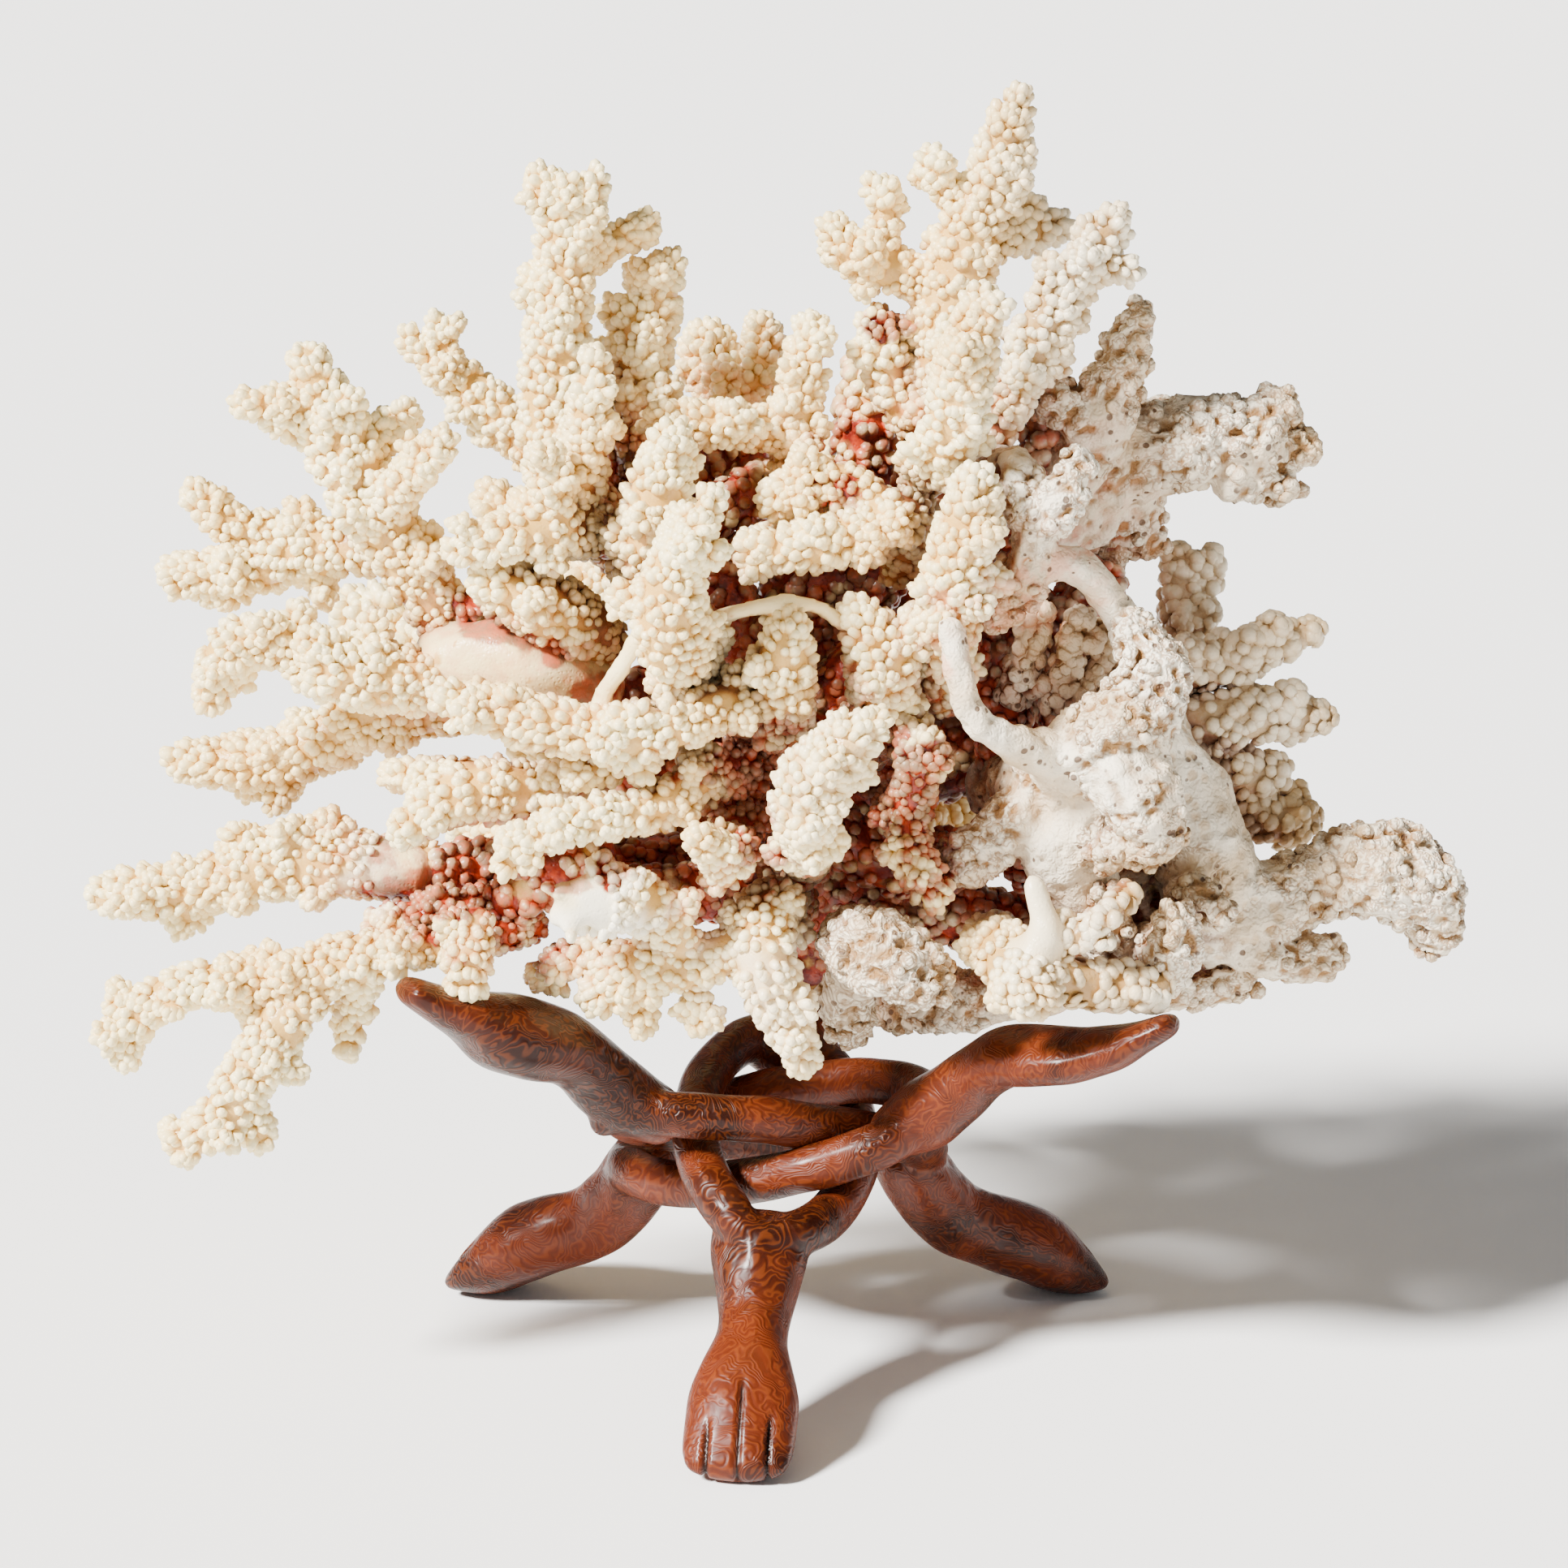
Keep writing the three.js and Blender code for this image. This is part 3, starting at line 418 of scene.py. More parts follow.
def smooth_path(stops: np.ndarray, step: float) -> np.ndarray:
    """Samples a centripetal curve through the stops.

    Each piece of the curve is blended from the four stops about it, with knots spaced by the square
    root of the distance between stops. The fourth column, the radius, is blended in the same way.

    Args:
        stops: x, y, z and radius of each stop.
        step: spacing of the samples.

    Returns:
        x, y, z and radius of each sample.
    """
    ends = [2 * stops[0] - stops[1], *stops, 2 * stops[-1] - stops[-2]]
    pieces = []
    for p0, p1, p2, p3 in zip(ends, ends[1:], ends[2:], ends[3:]):
        pairs = ((p0, p1), (p1, p2), (p2, p3))
        gaps = [max(np.linalg.norm((b - a)[:3]), 1e-6) ** 0.5 for a, b in pairs]
        t1, t2, t3 = np.cumsum(gaps)
        count = max(2, int(np.linalg.norm((p2 - p1)[:3]) / step))
        t = (t1 + (t2 - t1) * np.arange(count) / count)[:, None]
        a1 = (t1 - t) / t1 * p0 + t / t1 * p1
        a2 = (t2 - t) / (t2 - t1) * p1 + (t - t1) / (t2 - t1) * p2
        a3 = (t3 - t) / (t3 - t2) * p2 + (t - t2) / (t3 - t2) * p3
        b1 = (t2 - t) / t2 * a1 + t / t2 * a2
        b2 = (t3 - t) / (t3 - t1) * a2 + (t - t1) / (t3 - t1) * a3
        pieces.append((t2 - t) / (t2 - t1) * b1 + (t - t1) / (t2 - t1) * b2)
    return np.vstack([*pieces, stops[-1:]])


def wobble(points: np.ndarray, size: float, seed: int, octaves: int = 3) -> np.ndarray:
    """A smooth seeded unevenness between about -1 and 1: a sum of sine waves in chance directions.

    Args:
        points: places, in millimetres.
        size: length of the longest waves.
        seed: picks the directions.
        octaves: how many times the waves are halved.

    Returns:
        One value for each point.
    """
    rng = np.random.default_rng(seed)
    total = np.zeros(len(points))
    for octave in range(octaves):
        waves = unit(rng.normal(size=(7, 3))) * (2 * np.pi / (size / 2**octave))
        phases = rng.uniform(0, 2 * np.pi, 7)
        total += np.sin(points @ waves.T + phases).sum(1) / (3.2 * 1.8**octave)
    return np.clip(total / 1.3, -1, 1)


@dataclass
class Soup:
    """Closed surfaces waiting to be fused: their points, triangles and quads."""

    points: list[np.ndarray] = field(default_factory=list)
    faces: list[np.ndarray] = field(default_factory=list)
    count: int = 0

    def add(self, points: np.ndarray, faces: np.ndarray) -> None:
        """Adds one closed surface, or several that are already numbered together."""
        self.points.append(points)
        self.faces.append(faces + self.count)
        self.count += len(points)

    def mesh(self, name: str) -> bpy.types.Mesh:
        """Makes a Blender mesh, in metres."""
        return mesh_from(name, np.vstack(self.points) * MM, [np.vstack(self.faces)])


def mesh_from(name: str, points: np.ndarray, faces: list[np.ndarray]) -> bpy.types.Mesh:
    """Fills a mesh from whole arrays.

    Args:
        name: name of the mesh.
        points: one row for each vertex, in metres.
        faces: arrays of faces, one row of vertex numbers for each face.

    Returns:
        The new mesh, shaded smooth.
    """
    mesh = bpy.data.meshes.new(name)
    corners = np.concatenate([part.ravel() for part in faces]).astype(np.int32)
    sizes = np.concatenate([np.full(len(part), part.shape[1]) for part in faces])
    starts = np.concatenate([[0], np.cumsum(sizes)[:-1]]).astype(np.int32)
    mesh.vertices.add(len(points))
    mesh.vertices.foreach_set("co", points.astype(np.float32).ravel())
    mesh.loops.add(len(corners))
    mesh.loops.foreach_set("vertex_index", corners)
    mesh.polygons.add(len(starts))
    mesh.polygons.foreach_set("loop_start", starts)
    mesh.polygons.foreach_set("use_smooth", np.ones(len(starts), bool))
    mesh.update(calc_edges=True)
    return mesh


def closed_tube(
    rings: np.ndarray, first: np.ndarray, last: np.ndarray
) -> tuple[np.ndarray, np.ndarray]:
    """Joins rings of points into one closed surface.

    Args:
        rings: x, y, z by ring and by place in the ring.
        first: the point that closes the first ring.
        last: the point that closes the last ring.

    Returns:
        Points and triangles.
    """
    rows, sides = rings.shape[:2]
    row, column = np.mgrid[0 : rows - 1, 0:sides]
    a = row * sides + column
    b = row * sides + (column + 1) % sides
    walls = np.stack([a, b, b + sides, a, b + sides, a + sides], -1).reshape(-1, 3)
    around = np.arange(sides)
    after = (around + 1) % sides
    top = (rows - 1) * sides
    start = np.stack([np.full(sides, rows * sides), after, around], 1)
    end = np.stack([np.full(sides, rows * sides + 1), top + around, top + after], 1)
    return np.vstack([rings.reshape(-1, 3), first, last]), np.vstack([walls, start, end])


def write_masks(mesh: bpy.types.Mesh, **masks: np.ndarray) -> None:
    """Keeps three values at every point under each name, for a finish to read."""
    for name, values in masks.items():
        layer = mesh.attributes.new(name, "FLOAT_VECTOR", "POINT")
        layer.data.foreach_set("vector", values.astype(np.float32).ravel())


def new_piece(
    name: str, mesh: bpy.types.Mesh, material: bpy.types.Material
) -> bpy.types.Object:
    """Puts a mesh in the scene, dressed in a material."""
    piece = bpy.data.objects.new(name, mesh)
    bpy.context.scene.collection.objects.link(piece)
    piece.data.materials.append(material)
    return piece


def bead() -> tuple[np.ndarray, np.ndarray]:
    """A round-headed nub of 16 points and 28 triangles along +Z, widest at its hidden foot."""
    sides = 7
    turn = np.arange(sides) * 2 * np.pi / sides
    rings = [
        np.column_stack([np.cos(turn) * wide, np.sin(turn) * wide, np.full(sides, lift)])
        for wide, lift in ((0.7, 0.74), (1.12, -0.22))
    ]
    points = np.vstack([[[0, 0, 1.0]], *rings, [[0, 0, -1.0]]])
    faces = []
    for column in range(sides):
        upper, upper_after = 1 + column, 1 + (column + 1) % sides
        lower, lower_after = upper + sides, upper_after + sides
        faces.append((0, upper, upper_after))
        faces.append((upper, lower, lower_after))
        faces.append((upper, lower_after, upper_after))
        faces.append((lower, len(points) - 1, lower_after))
    return points, np.array(faces)


BEAD_POINTS, BEAD_FACES = bead()
# Height mask of a nub's points: creamy at its head, dark at its foot, which is painted shade in the
# crease about it.
BEAD_CREASE_SHADE = np.clip(BEAD_POINTS[:, 2] * 0.6 + 0.42, 0, 1)


@dataclass(frozen=True)
class Clothing:
    """How branches of one coat are built, in millimetres where nothing else is said.

    Attributes:
        cover: how far the core lies under the outline of the branch.
        lumps: depth of the core's own unevenness, in radii of the core.
        spacing: distance between nubs.
        radius: mean radius of a nub.
        tall: how far a nub stands out, in its radii.
        share: part of the places that have a nub.
        lift: how far the middle of a nub stands off its foot, in radii.
    """

    cover: float
    lumps: float
    spacing: float = 0.0
    radius: float = 0.0
    tall: float = 0.0
    share: float = 0.0
    lift: float = 0.15


CLOTHING = {
    Coat.KNOBBY: Clothing(1.5, 0.1, 3.1, 1.6, 1.4, 0.985),
    Coat.LUMPY: Clothing(1.2, 0.1, 4.35, 2.25, 0.7, 0.95),
    Coat.WORN: Clothing(0.8, 0.18, 4.6, 2.1, 0.9, 0.5, -0.25),
    Coat.SMOOTH: Clothing(0.2, 0.12),
}
# Thinnest core that the remesh still holds together.
THINNEST_CORE = 2.1
# Nubs behind are coarser; worn runs have them only past this share of their length.
REAR_SIZE = 1.3
WORN_RIPE = 0.5
# How far about a limb other branches are looked for, and how deep in one a nub may start.
NEIGHBOURHOOD = 22
SHARED_DEPTH = 0.9
# Most that the middle of a nub may stand off the skin.
LARGEST_GAP = 0.5


@dataclass
class Beads:
    """Round-headed knobs waiting to be set on a limb, one row for each."""

    centre: np.ndarray
    growth: np.ndarray
    wide: np.ndarray
    high: np.ndarray
    ripe: np.ndarray

    def parts(self) -> tuple[np.ndarray, ...]:
        """The arrays, in the order of the fields."""
        return self.centre, self.growth, self.wide, self.high, self.ripe

    def kept(self, keep: np.ndarray) -> "Beads":
        """The beads for which keep is true."""
        return Beads(*(part[keep] for part in self.parts()))

    @staticmethod
    def joined(many: list["Beads"]) -> "Beads":
        """All the beads of several sets."""
        return Beads(*(np.concatenate(part) for part in zip(*(beads.parts() for beads in many))))

    def shape(self) -> tuple[np.ndarray, np.ndarray]:
        """Points and triangles of every bead: the nub, scaled and turned to its growth."""
        u = unit(np.cross(self.growth, np.array([0.31, 0.27, 0.93])))
        v = np.cross(self.growth, u)
        x, y, z = BEAD_POINTS.T[:, None, :, None]
        flat = self.wide[:, None, None] * (x * u[:, None] + y * v[:, None])
        points = self.centre[:, None] + flat + self.high[:, None, None] * z * self.growth[:, None]
        numbers = BEAD_FACES[None] + (np.arange(len(self.centre)) * len(BEAD_POINTS))[:, None, None]
        return points.reshape(-1, 3), numbers.reshape(-1, 3)

    def set_on(self, points: np.ndarray, faces: np.ndarray) -> "Beads":
        """The same beads, those that stood off the skin brought down to it.

        Args:
            points: points of the fused skin.
            faces: its faces.

        Returns:
            The beads, none with its centre further than the largest gap from the skin.
        """
        skin = BVHTree.FromPolygons(points.tolist(), faces.tolist())
        nearest = [skin.find_nearest(middle)[0] for middle in self.centre.tolist()]
        step = np.array(nearest).reshape(-1, 3) - self.centre
        away = np.maximum(np.linalg.norm(step, axis=1, keepdims=True), 1e-6)
        return replace(self, centre=self.centre + step * np.clip(1 - LARGEST_GAP / away, 0, 1))


@dataclass
class Branch:
    """One tapering branch of coral: a smooth path with a frame and a radius at every sample."""

    stops: np.ndarray
    coat: Coat
    seed: int
    slimming: float = 1.0
    stem_like: bool = True
    number: int = 0

    def __post_init__(self) -> None:
        """Works out the path, its tangents and the two directions square to them."""
        self.path = smooth_path(self.stops, 2.0)
        middle = self.path[:, :3]
        self.ahead = unit(np.gradient(middle, axis=0))
        overall = unit(middle[-1] - middle[0])
        slim = np.array([0.0, 1.0, 0.0]) if abs(overall[1]) < 0.7 else np.array([0.0, 0.0, 1.0])
        self.side = unit(np.cross(self.ahead, slim))
        self.rise = np.cross(self.side, self.ahead)
        radii = self.path[:, 3]
        bare = np.maximum(radii * self.slimming - CLOTHING[self.coat].cover, radii * 0.5)
        self.core = np.maximum(bare, THINNEST_CORE)
        steps = np.linalg.norm(np.diff(middle, axis=0), axis=1)
        self.run = np.concatenate([[0.0], np.cumsum(steps)])

    def samples(self) -> np.ndarray:
        """x, y, z, core radius and branch number along the path."""
        numbers = np.full(len(self.core), self.number)
        return np.column_stack([self.path[:, :3], self.core, numbers])

    def tube(self, soup: Soup, sides: int = 14) -> None:
        """Adds the bare branch: rings about the path, closed by a rounded cap at each end."""
        turn = np.linspace(0, 2 * np.pi, sides, endpoint=False)
        lift = np.radians([80, 55, 28])
        first, last = self.core[0], self.core[-1]
        middles = np.vstack([
            self.path[0, :3] - self.ahead[0] * first * 0.7 * np.sin(lift)[:, None],
            self.path[:, :3],
            self.path[-1, :3] + self.ahead[-1] * last * np.sin(lift[::-1])[:, None],
        ])
        radii = np.concatenate([first * np.cos(lift), self.core, last * np.cos(lift[::-1])])
        side, rise = (
            np.vstack([np.tile(row[0], (3, 1)), row, np.tile(row[-1], (3, 1))])
            for row in (self.side, self.rise)
        )
        out = side[:, None] * np.cos(turn)[:, None] + rise[:, None] * np.sin(turn)[:, None]
        rings = middles[:, None] + radii[:, None, None] * out
        lumps = wobble(rings.reshape(-1, 3), 17, self.seed).reshape(rings.shape[:2])
        rings += (CLOTHING[self.coat].lumps * radii[:, None] * lumps)[..., None] * out
        foot, tip = middles[0] - self.ahead[0] * 0.1, middles[-1] + self.ahead[-1] * 0.1
        soup.add(*closed_tube(rings, foot, tip))

    def fingers(self) -> list["Branch"]:
        """Short side branches, set by chance round the branch and leaning towards its tip.

        Returns:
            One branch for about every six millimetres of length.
        """
        rng = np.random.default_rng(self.seed + 500)
        made = []
        for number in range(int(self.run[-1] / 6)):
            index = int(rng.uniform(0.18, 0.97) * (len(self.path) - 1))
            turn = rng.uniform(0, 2 * np.pi)
            out = math.cos(turn) * self.side[index] + math.sin(turn) * self.rise[index]
            grow = unit(out + self.ahead[index] * rng.uniform(0.3, 1.0))
            radius = self.path[index, 3]
            wide = min(rng.uniform(3.9, 5.5), radius * 0.58)
            length = rng.uniform(0.3, 0.64) * radius + rng.uniform(0.0, 1.8)
            foot = self.path[index, :3] + out * self.core[index] * 0.35
            bend = unit(grow + rng.normal(0, 0.25, 3))
            stops = np.array([
                [*foot, wide * 1.1],
                [*(foot + grow * length * 0.6), wide],
                [*(foot + grow * length * 0.6 + bend * length * 0.5), wide * 0.82],
            ])
            made.append(Branch(stops, self.coat, self.seed * 91 + number, 1.0, False))
        return made

    def knob_places(
        self, spacing: float, share: float, rng: np.random.Generator
    ) -> tuple[np.ndarray, ...]:
        """Places of knobs in rings along the branch and over its tip.

        Rings are turned by chance against each other, and each holds as many knobs as its girth
        has room for. Past the end the rings close over the tip like a dome.

        Args:
            spacing: distance between knobs, in millimetres.
            share: part of the places that are kept.
            rng: source of chance.

        Returns:
            Foot, direction of growth and share of the way to the tip of each knob.
        """
        feet, growth, ripe = [], [], []
        length = self.run[-1]
        tip = self.core[-1]
        rows = np.arange(0, length + tip * np.pi / 2, spacing * 0.87)
        for place in rows:
            along = min(place, length)
            index = min(int(np.searchsorted(self.run, along)), len(self.run) - 1)
            bend = max(0.0, place - length) / max(tip, 1e-6)
            core = self.core[index]
            girth = 2 * np.pi * (core + 1.3) * math.cos(min(bend, 1.5))
            count = max(1, round(girth / spacing))
            turn = rng.uniform(0, 2 * np.pi) + 2 * np.pi * np.arange(count) / count
            turn += rng.normal(0, 0.24, count) * spacing / max(core, 2.0)
            side, rise, ahead = self.side[index], self.rise[index], self.ahead[index]
            out = np.cos(turn)[:, None] * side + np.sin(turn)[:, None] * rise
            out = unit(out * math.cos(bend) + ahead * math.sin(bend))
            lean = 0.25 + 0.75 * (along / max(length, 1.0)) ** 2
            middle = self.path[index, :3] + ahead * rng.normal(0, 0.26, (count, 1)) * spacing
            feet.append(middle + out * core)
            growth.append(unit(out + lean * ahead))
            ripe.append(np.full((count, 1), along / max(length, 1.0)))
        keep = rng.uniform(size=sum(map(len, feet))) < share
        return tuple(np.vstack(part)[keep] for part in (feet, growth, ripe))

    def beads(self, size: float) -> Beads:
        """A round-headed knob at every place, low where the branch is old and full at its tip.

        Args:
            size: how much wider the knobs and their spacing are than the coat's own.

        Returns:
            The knobs of this branch.
        """
        form = CLOTHING[self.coat]
        radius = form.radius * size
        rng = np.random.default_rng(self.seed)
        feet, growth, ripe = self.knob_places(form.spacing * size, form.share, rng)
        ripe, count = ripe[:, 0], len(feet)
        full = np.clip(0.4 + 0.85 * ripe, 0, 1.05) if self.stem_like else np.full(count, 1.05)
        wide = radius * (0.8 + 0.2 * full) * rng.uniform(0.76, 1.2, count)
        high = wide * form.tall * full * rng.uniform(0.85, 1.2, count)
        centre = feet + growth * (radius * form.lift * full)[:, None]
        return Beads(centre, growth, wide, high, ripe)


# Numbers of branches: the seed of the limb times this, plus the place in the limb.
BRANCHES_IN_LIMB = 1000
STEMS_SEED = 1


class Crowding:
    """How densely coral stands about a place, kept on a coarse grid of cells; the spread grids set
    painted shade in crowded hollows.
    """

    CELL = 4.0
    MARGIN = 60.0

    def __init__(self, branches: list[Branch]) -> None:
        """Marks every cell that lies in a branch, then spreads the marks."""
        path = np.vstack([branch.path for branch in branches])
        self.low = path[:, :3].min(0) - self.MARGIN
        high = path[:, :3].max(0) + self.MARGIN
        size = np.ceil((high - self.low) / self.CELL).astype(int)
        full = np.zeros(size, np.float32)
        for x, y, z, radius in path[::2]:
            middle = (np.array([x, y, z]) - self.low) / self.CELL
            reach = radius / self.CELL
            first = np.maximum(np.floor(middle - reach).astype(int), 0)
            last = np.ceil(middle + reach).astype(int) + 1
            i, j, k = (np.arange(a, b) for a, b in zip(first, last))
            away = (i[:, None, None] - middle[0]) ** 2 + (j[None, :, None] - middle[1]) ** 2
            away = away + (k[None, None, :] - middle[2]) ** 2
            block = full[first[0]:last[0], first[1]:last[1], first[2]:last[2]]
            block[away[: block.shape[0], : block.shape[1], : block.shape[2]] <= reach**2] = 1
        stems = [branch for branch in branches if branch.number // BRANCHES_IN_LIMB == STEMS_SEED]
        self.stems = np.vstack([branch.path[::3] for branch in stems])
        self.near = self.spread(full, 2)
        self.far = self.spread(self.spread(full, 5), 4)

    def to_stems(self, points: np.ndarray) -> np.ndarray:
        """Distance of each point from the bark of the nearest stem, in millimetres."""
        away = np.empty(len(points))
        for rows in in_chunks(len(points)):
            reach = np.linalg.norm(points[rows, None] - self.stems[None, :, :3], axis=2)
            away[rows] = (reach - self.stems[None, :, 3]).min(1)
        return away

    @staticmethod
    def spread(grid: np.ndarray, reach: int) -> np.ndarray:
        """Averages the grid over a box of the given half width, along each axis in turn."""
        for axis in range(3):
            pad = [(0, 0)] * 3
            pad[axis] = (reach + 1, reach)
            sums = np.cumsum(np.pad(grid, pad), axis=axis)
            high = np.take(sums, range(2 * reach + 1, sums.shape[axis]), axis=axis)
            low = np.take(sums, range(0, sums.shape[axis] - 2 * reach - 1), axis=axis)
            grid = (high - low) / (2 * reach + 1)
        return grid

    def read(self, grid: np.ndarray, points: np.ndarray) -> np.ndarray:
        """Value of the grid at each point, in millimetres, blended between cells."""
        place = np.clip((points - self.low) / self.CELL, 0, np.array(grid.shape) - 1.001)
        cell = place.astype(int)
        part = place - cell
        total = np.zeros(len(points))
        for corner in np.ndindex(2, 2, 2):
            weight = np.prod(np.where(corner, part, 1 - part), axis=1)
            i, j, k = (cell + np.array(corner)).T
            total += weight * grid[i, j, k]
        return total


@dataclass(frozen=True)
class Patch:
    """A coloured patch: where it lies on the front elevation and how far it reaches."""

    across: float
    up: float
    behind: float
    reach: float
    strength: float
    hue: Hue


PATCHES = [
    Patch(-82, 137, -20, 22, 1.0, Hue.RUST),
    Patch(-62, 146, -26, 18, 0.8, Hue.RUST),
    Patch(-71, 112, -40, 10, 0.9, Hue.RUST),
    Patch(-66, 195, -20, 24, 0.4, Hue.SALMON),
    Patch(-85, 209, -32, 6, 1.0, Hue.RUST),
    Patch(-77, 207, -36, 6, 1.0, Hue.RUST),
    Patch(-68, 203, -38, 6, 1.0, Hue.RUST),
    Patch(-60, 199, -38, 5, 1.0, Hue.RUST),
    Patch(-48, 186, -36, 9, 0.9, Hue.RUST),
    Patch(-54, 190, -42, 12, 0.7, Hue.SALMON),
    Patch(-38, 190, -30, 18, 0.5, Hue.SALMON),
    Patch(-6, 168, -30, 20, 0.9, Hue.RUST),
    Patch(-2, 150, -34, 16, 0.9, Hue.RUST),
    Patch(-24, 138, -40, 16, 0.6, Hue.SALMON),
    Patch(36, 162, -34, 22, 1.0, Hue.RUST),
    Patch(38, 136, -34, 14, 0.9, Hue.RUST),
    Patch(20, 190, -34, 16, 0.6, Hue.SALMON),
    Patch(14, 248, -20, 12, 0.8, Hue.RUST),
    Patch(30, 286, -8, 7, 1.0, Hue.RUST),
    Patch(-20, 225, -40, 12, 0.4, Hue.SALMON),
    Patch(54, 208, -36, 20, 0.6, Hue.SALMON),
    Patch(72, 222, -24, 18, 0.6, Hue.SALMON),
    Patch(-48, 128, -56, 16, 1.0, Hue.WHITE),
    Patch(-57, 135, -64, 7, 1.0, Hue.RUST),
    Patch(-45, 139, -64, 7, 1.0, Hue.RUST),
    Patch(-97, 135, -34, 6, 1.0, Hue.RUST),
    Patch(-110, 139, -32, 11, 0.8, Hue.WHITE),
    Patch(16, 160, -66, 22, 0.3, Hue.WHITE),
    Patch(-2, 100, -48, 20, 0.5, Hue.WHITE),
]


# Stretches that grew over smooth: across, up, behind and reach, in millimetres.
SMOOTH_PLACES = np.array([
    [-78, 198, -14, 14], [-62, 192, -20, 13], [-70, 185, -14, 10], [-104, 138, -24, 10],
    [-56, 128, -62, 11],
])


@dataclass
class Limb:
    """A main limb of the colony, with every branch that forks from it."""

    name: str
    runs: list[Run]
    seed: int
    worn: bool
    bleached: bool

    def __post_init__(self) -> None:
        """Lays out the limb's branches, each with its own coat, and the fingers on them."""
        self.branches: list[Branch] = []
        deep = DEEP_RUNS if self.name == "coral_stems" else []
        for number, run in enumerate([*self.runs, *deep]):
            coat = Coat.WORN if self.worn else Coat.LUMPY if self.bleached or deep else Coat.KNOBBY
            if (self.name, number) in BARE_RUNS:
                coat = Coat.SMOOTH
            if (self.name, number) in LUMPY_RUNS:
                coat = Coat.LUMPY
            slimming = 1.0 if coat in (Coat.WORN, Coat.SMOOTH) else 0.77
            branch = Branch(on_sight_line(run), coat, self.seed * 37 + number, slimming)
            self.branches.append(branch)
            if slimming < 1 and self.name != "coral_stems":
                self.branches += branch.fingers()
        for number, branch in enumerate(self.branches):
            branch.number = self.seed * BRANCHES_IN_LIMB + number

    def soup(self) -> Soup:
        """The bare branches, before they are fused."""
        soup = Soup()
        for branch in self.branches:
            branch.tube(soup)
        return soup

    def beads(self, near: np.ndarray) -> Beads:
        """The limb's knobs, without those that would lie inside another branch.

        Args:
            near: x, y, z, core radius and branch number of every sample of the colony.

        Returns:
            The knobs that show.
        """
        size = REAR_SIZE if self.name.startswith("coral_rear") else 1.0
        made = []
        for branch in self.branches:
            if branch.coat is Coat.SMOOTH:
                continue
            beads = branch.beads(size)
            if branch.coat is Coat.WORN:
                beads = beads.kept(beads.ripe > WORN_RIPE)
            low = beads.centre.min(0) - NEIGHBOURHOOD
            high = beads.centre.max(0) + NEIGHBOURHOOD
            close = np.all((near[:, :3] > low) & (near[:, :3] < high), axis=1)
            other = near[(near[:, 4] != branch.number) & close]
            beads = beads.kept(~in_smooth_place(beads.centre))
            if len(other) and len(beads.wide):
                away = np.linalg.norm(beads.centre[:, None] - other[None, :, :3], axis=2)
                beads = beads.kept((away - other[None, :, 3]).min(1) > -SHARED_DEPTH)
            made.append(beads)
        return Beads.joined(made)

    def build(
        self, crowding: Crowding, near: np.ndarray, material: bpy.types.Material
    ) -> bpy.types.Object:
        """Fuses the limb, wears its surface, sets its knobs and paints its masks.

        Args:
            crowding: how dense the whole colony is.
            near: samples of every branch of the colony.
            material: what the limb is dressed in.

        Returns:
            The finished piece.
        """
        voxel = WORN_VOXEL if self.worn else CORE_VOXEL
        points, core_faces, normals = fused(self.soup(), self.name, voxel, 2)
        # The height mask sets painted shade: low places, between nubs and in pits, take the tan
        # crease colour.
        if self.worn:
            relief = self.wear(points)
            height = np.clip(0.6 + relief * 0.6, 0, 1)
        else:
            relief = wobble(points, 9, self.seed, 2) * 0.3
            height = np.clip(0.14 + relief * 0.3, 0, 1)
        points = points + normals * relief[:, None]
        height = self.bared(points, height)
        beads = self.beads(near).set_on(points, core_faces)
        bead_points, bead_faces = beads.shape()
        faces = [core_faces, bead_faces + len(points)]
        points = np.vstack([points, bead_points])
        normals = np.vstack([normals, np.repeat(beads.growth, len(BEAD_POINTS), axis=0)])
        tone = np.random.default_rng(self.seed).uniform(-0.08, 0.08, len(beads.wide))
        height = np.concatenate([height, (BEAD_CREASE_SHADE[None] + tone[:, None]).ravel()])
        # Painted shade over some of their own tan: the bleached right side and right rear limbs lie
        # in the shadow of the front mass, so their height mask is pressed towards the tan crease
        # colour.
        if self.bleached and not self.worn:
            height = 0.27 + 0.3 * height
        mesh = mesh_from(self.name + "_skin", points * MM, faces)
        self.paint(mesh, points, normals, height, crowding)
        return new_piece(self.name + "_skin", mesh, material)

    def bared(self, points: np.ndarray, height: np.ndarray) -> np.ndarray:
        """Raises the height mask along smooth branches, which have no creases and so no painted
        crease shade.
        """
        smooth = 0.85
        height = np.where(in_smooth_place(points), smooth, height)
        for branch in self.branches:
            if branch.coat is Coat.SMOOTH:
                path, core = branch.path[::2, :3], branch.core[::2]
                away = (np.linalg.norm(points[:, None] - path[None], axis=2) - core).min(1)
                height = np.where(away < 0.8, smooth, height)
        return height

    def crusted(self, points: np.ndarray) -> np.ndarray:
        """How crusty a worn limb is: full at its branches' ends, none at their roots."""
        path = np.vstack([
            np.column_stack([b.path[:, :3], b.run / b.run[-1] * (b.coat is Coat.WORN)])[::2]
            for b in self.branches
        ])
        crust = np.zeros(len(points))
        for rows in in_chunks(len(points)):
            nearest = ((points[rows, None] - path[None, :, :3]) ** 2).sum(2).argmin(1)
            crust[rows] = path[nearest, 3]
        return np.clip((crust - 0.3 + 0.35 * wobble(points, 16, self.seed + 2, 2)) * 3.5, 0, 1)

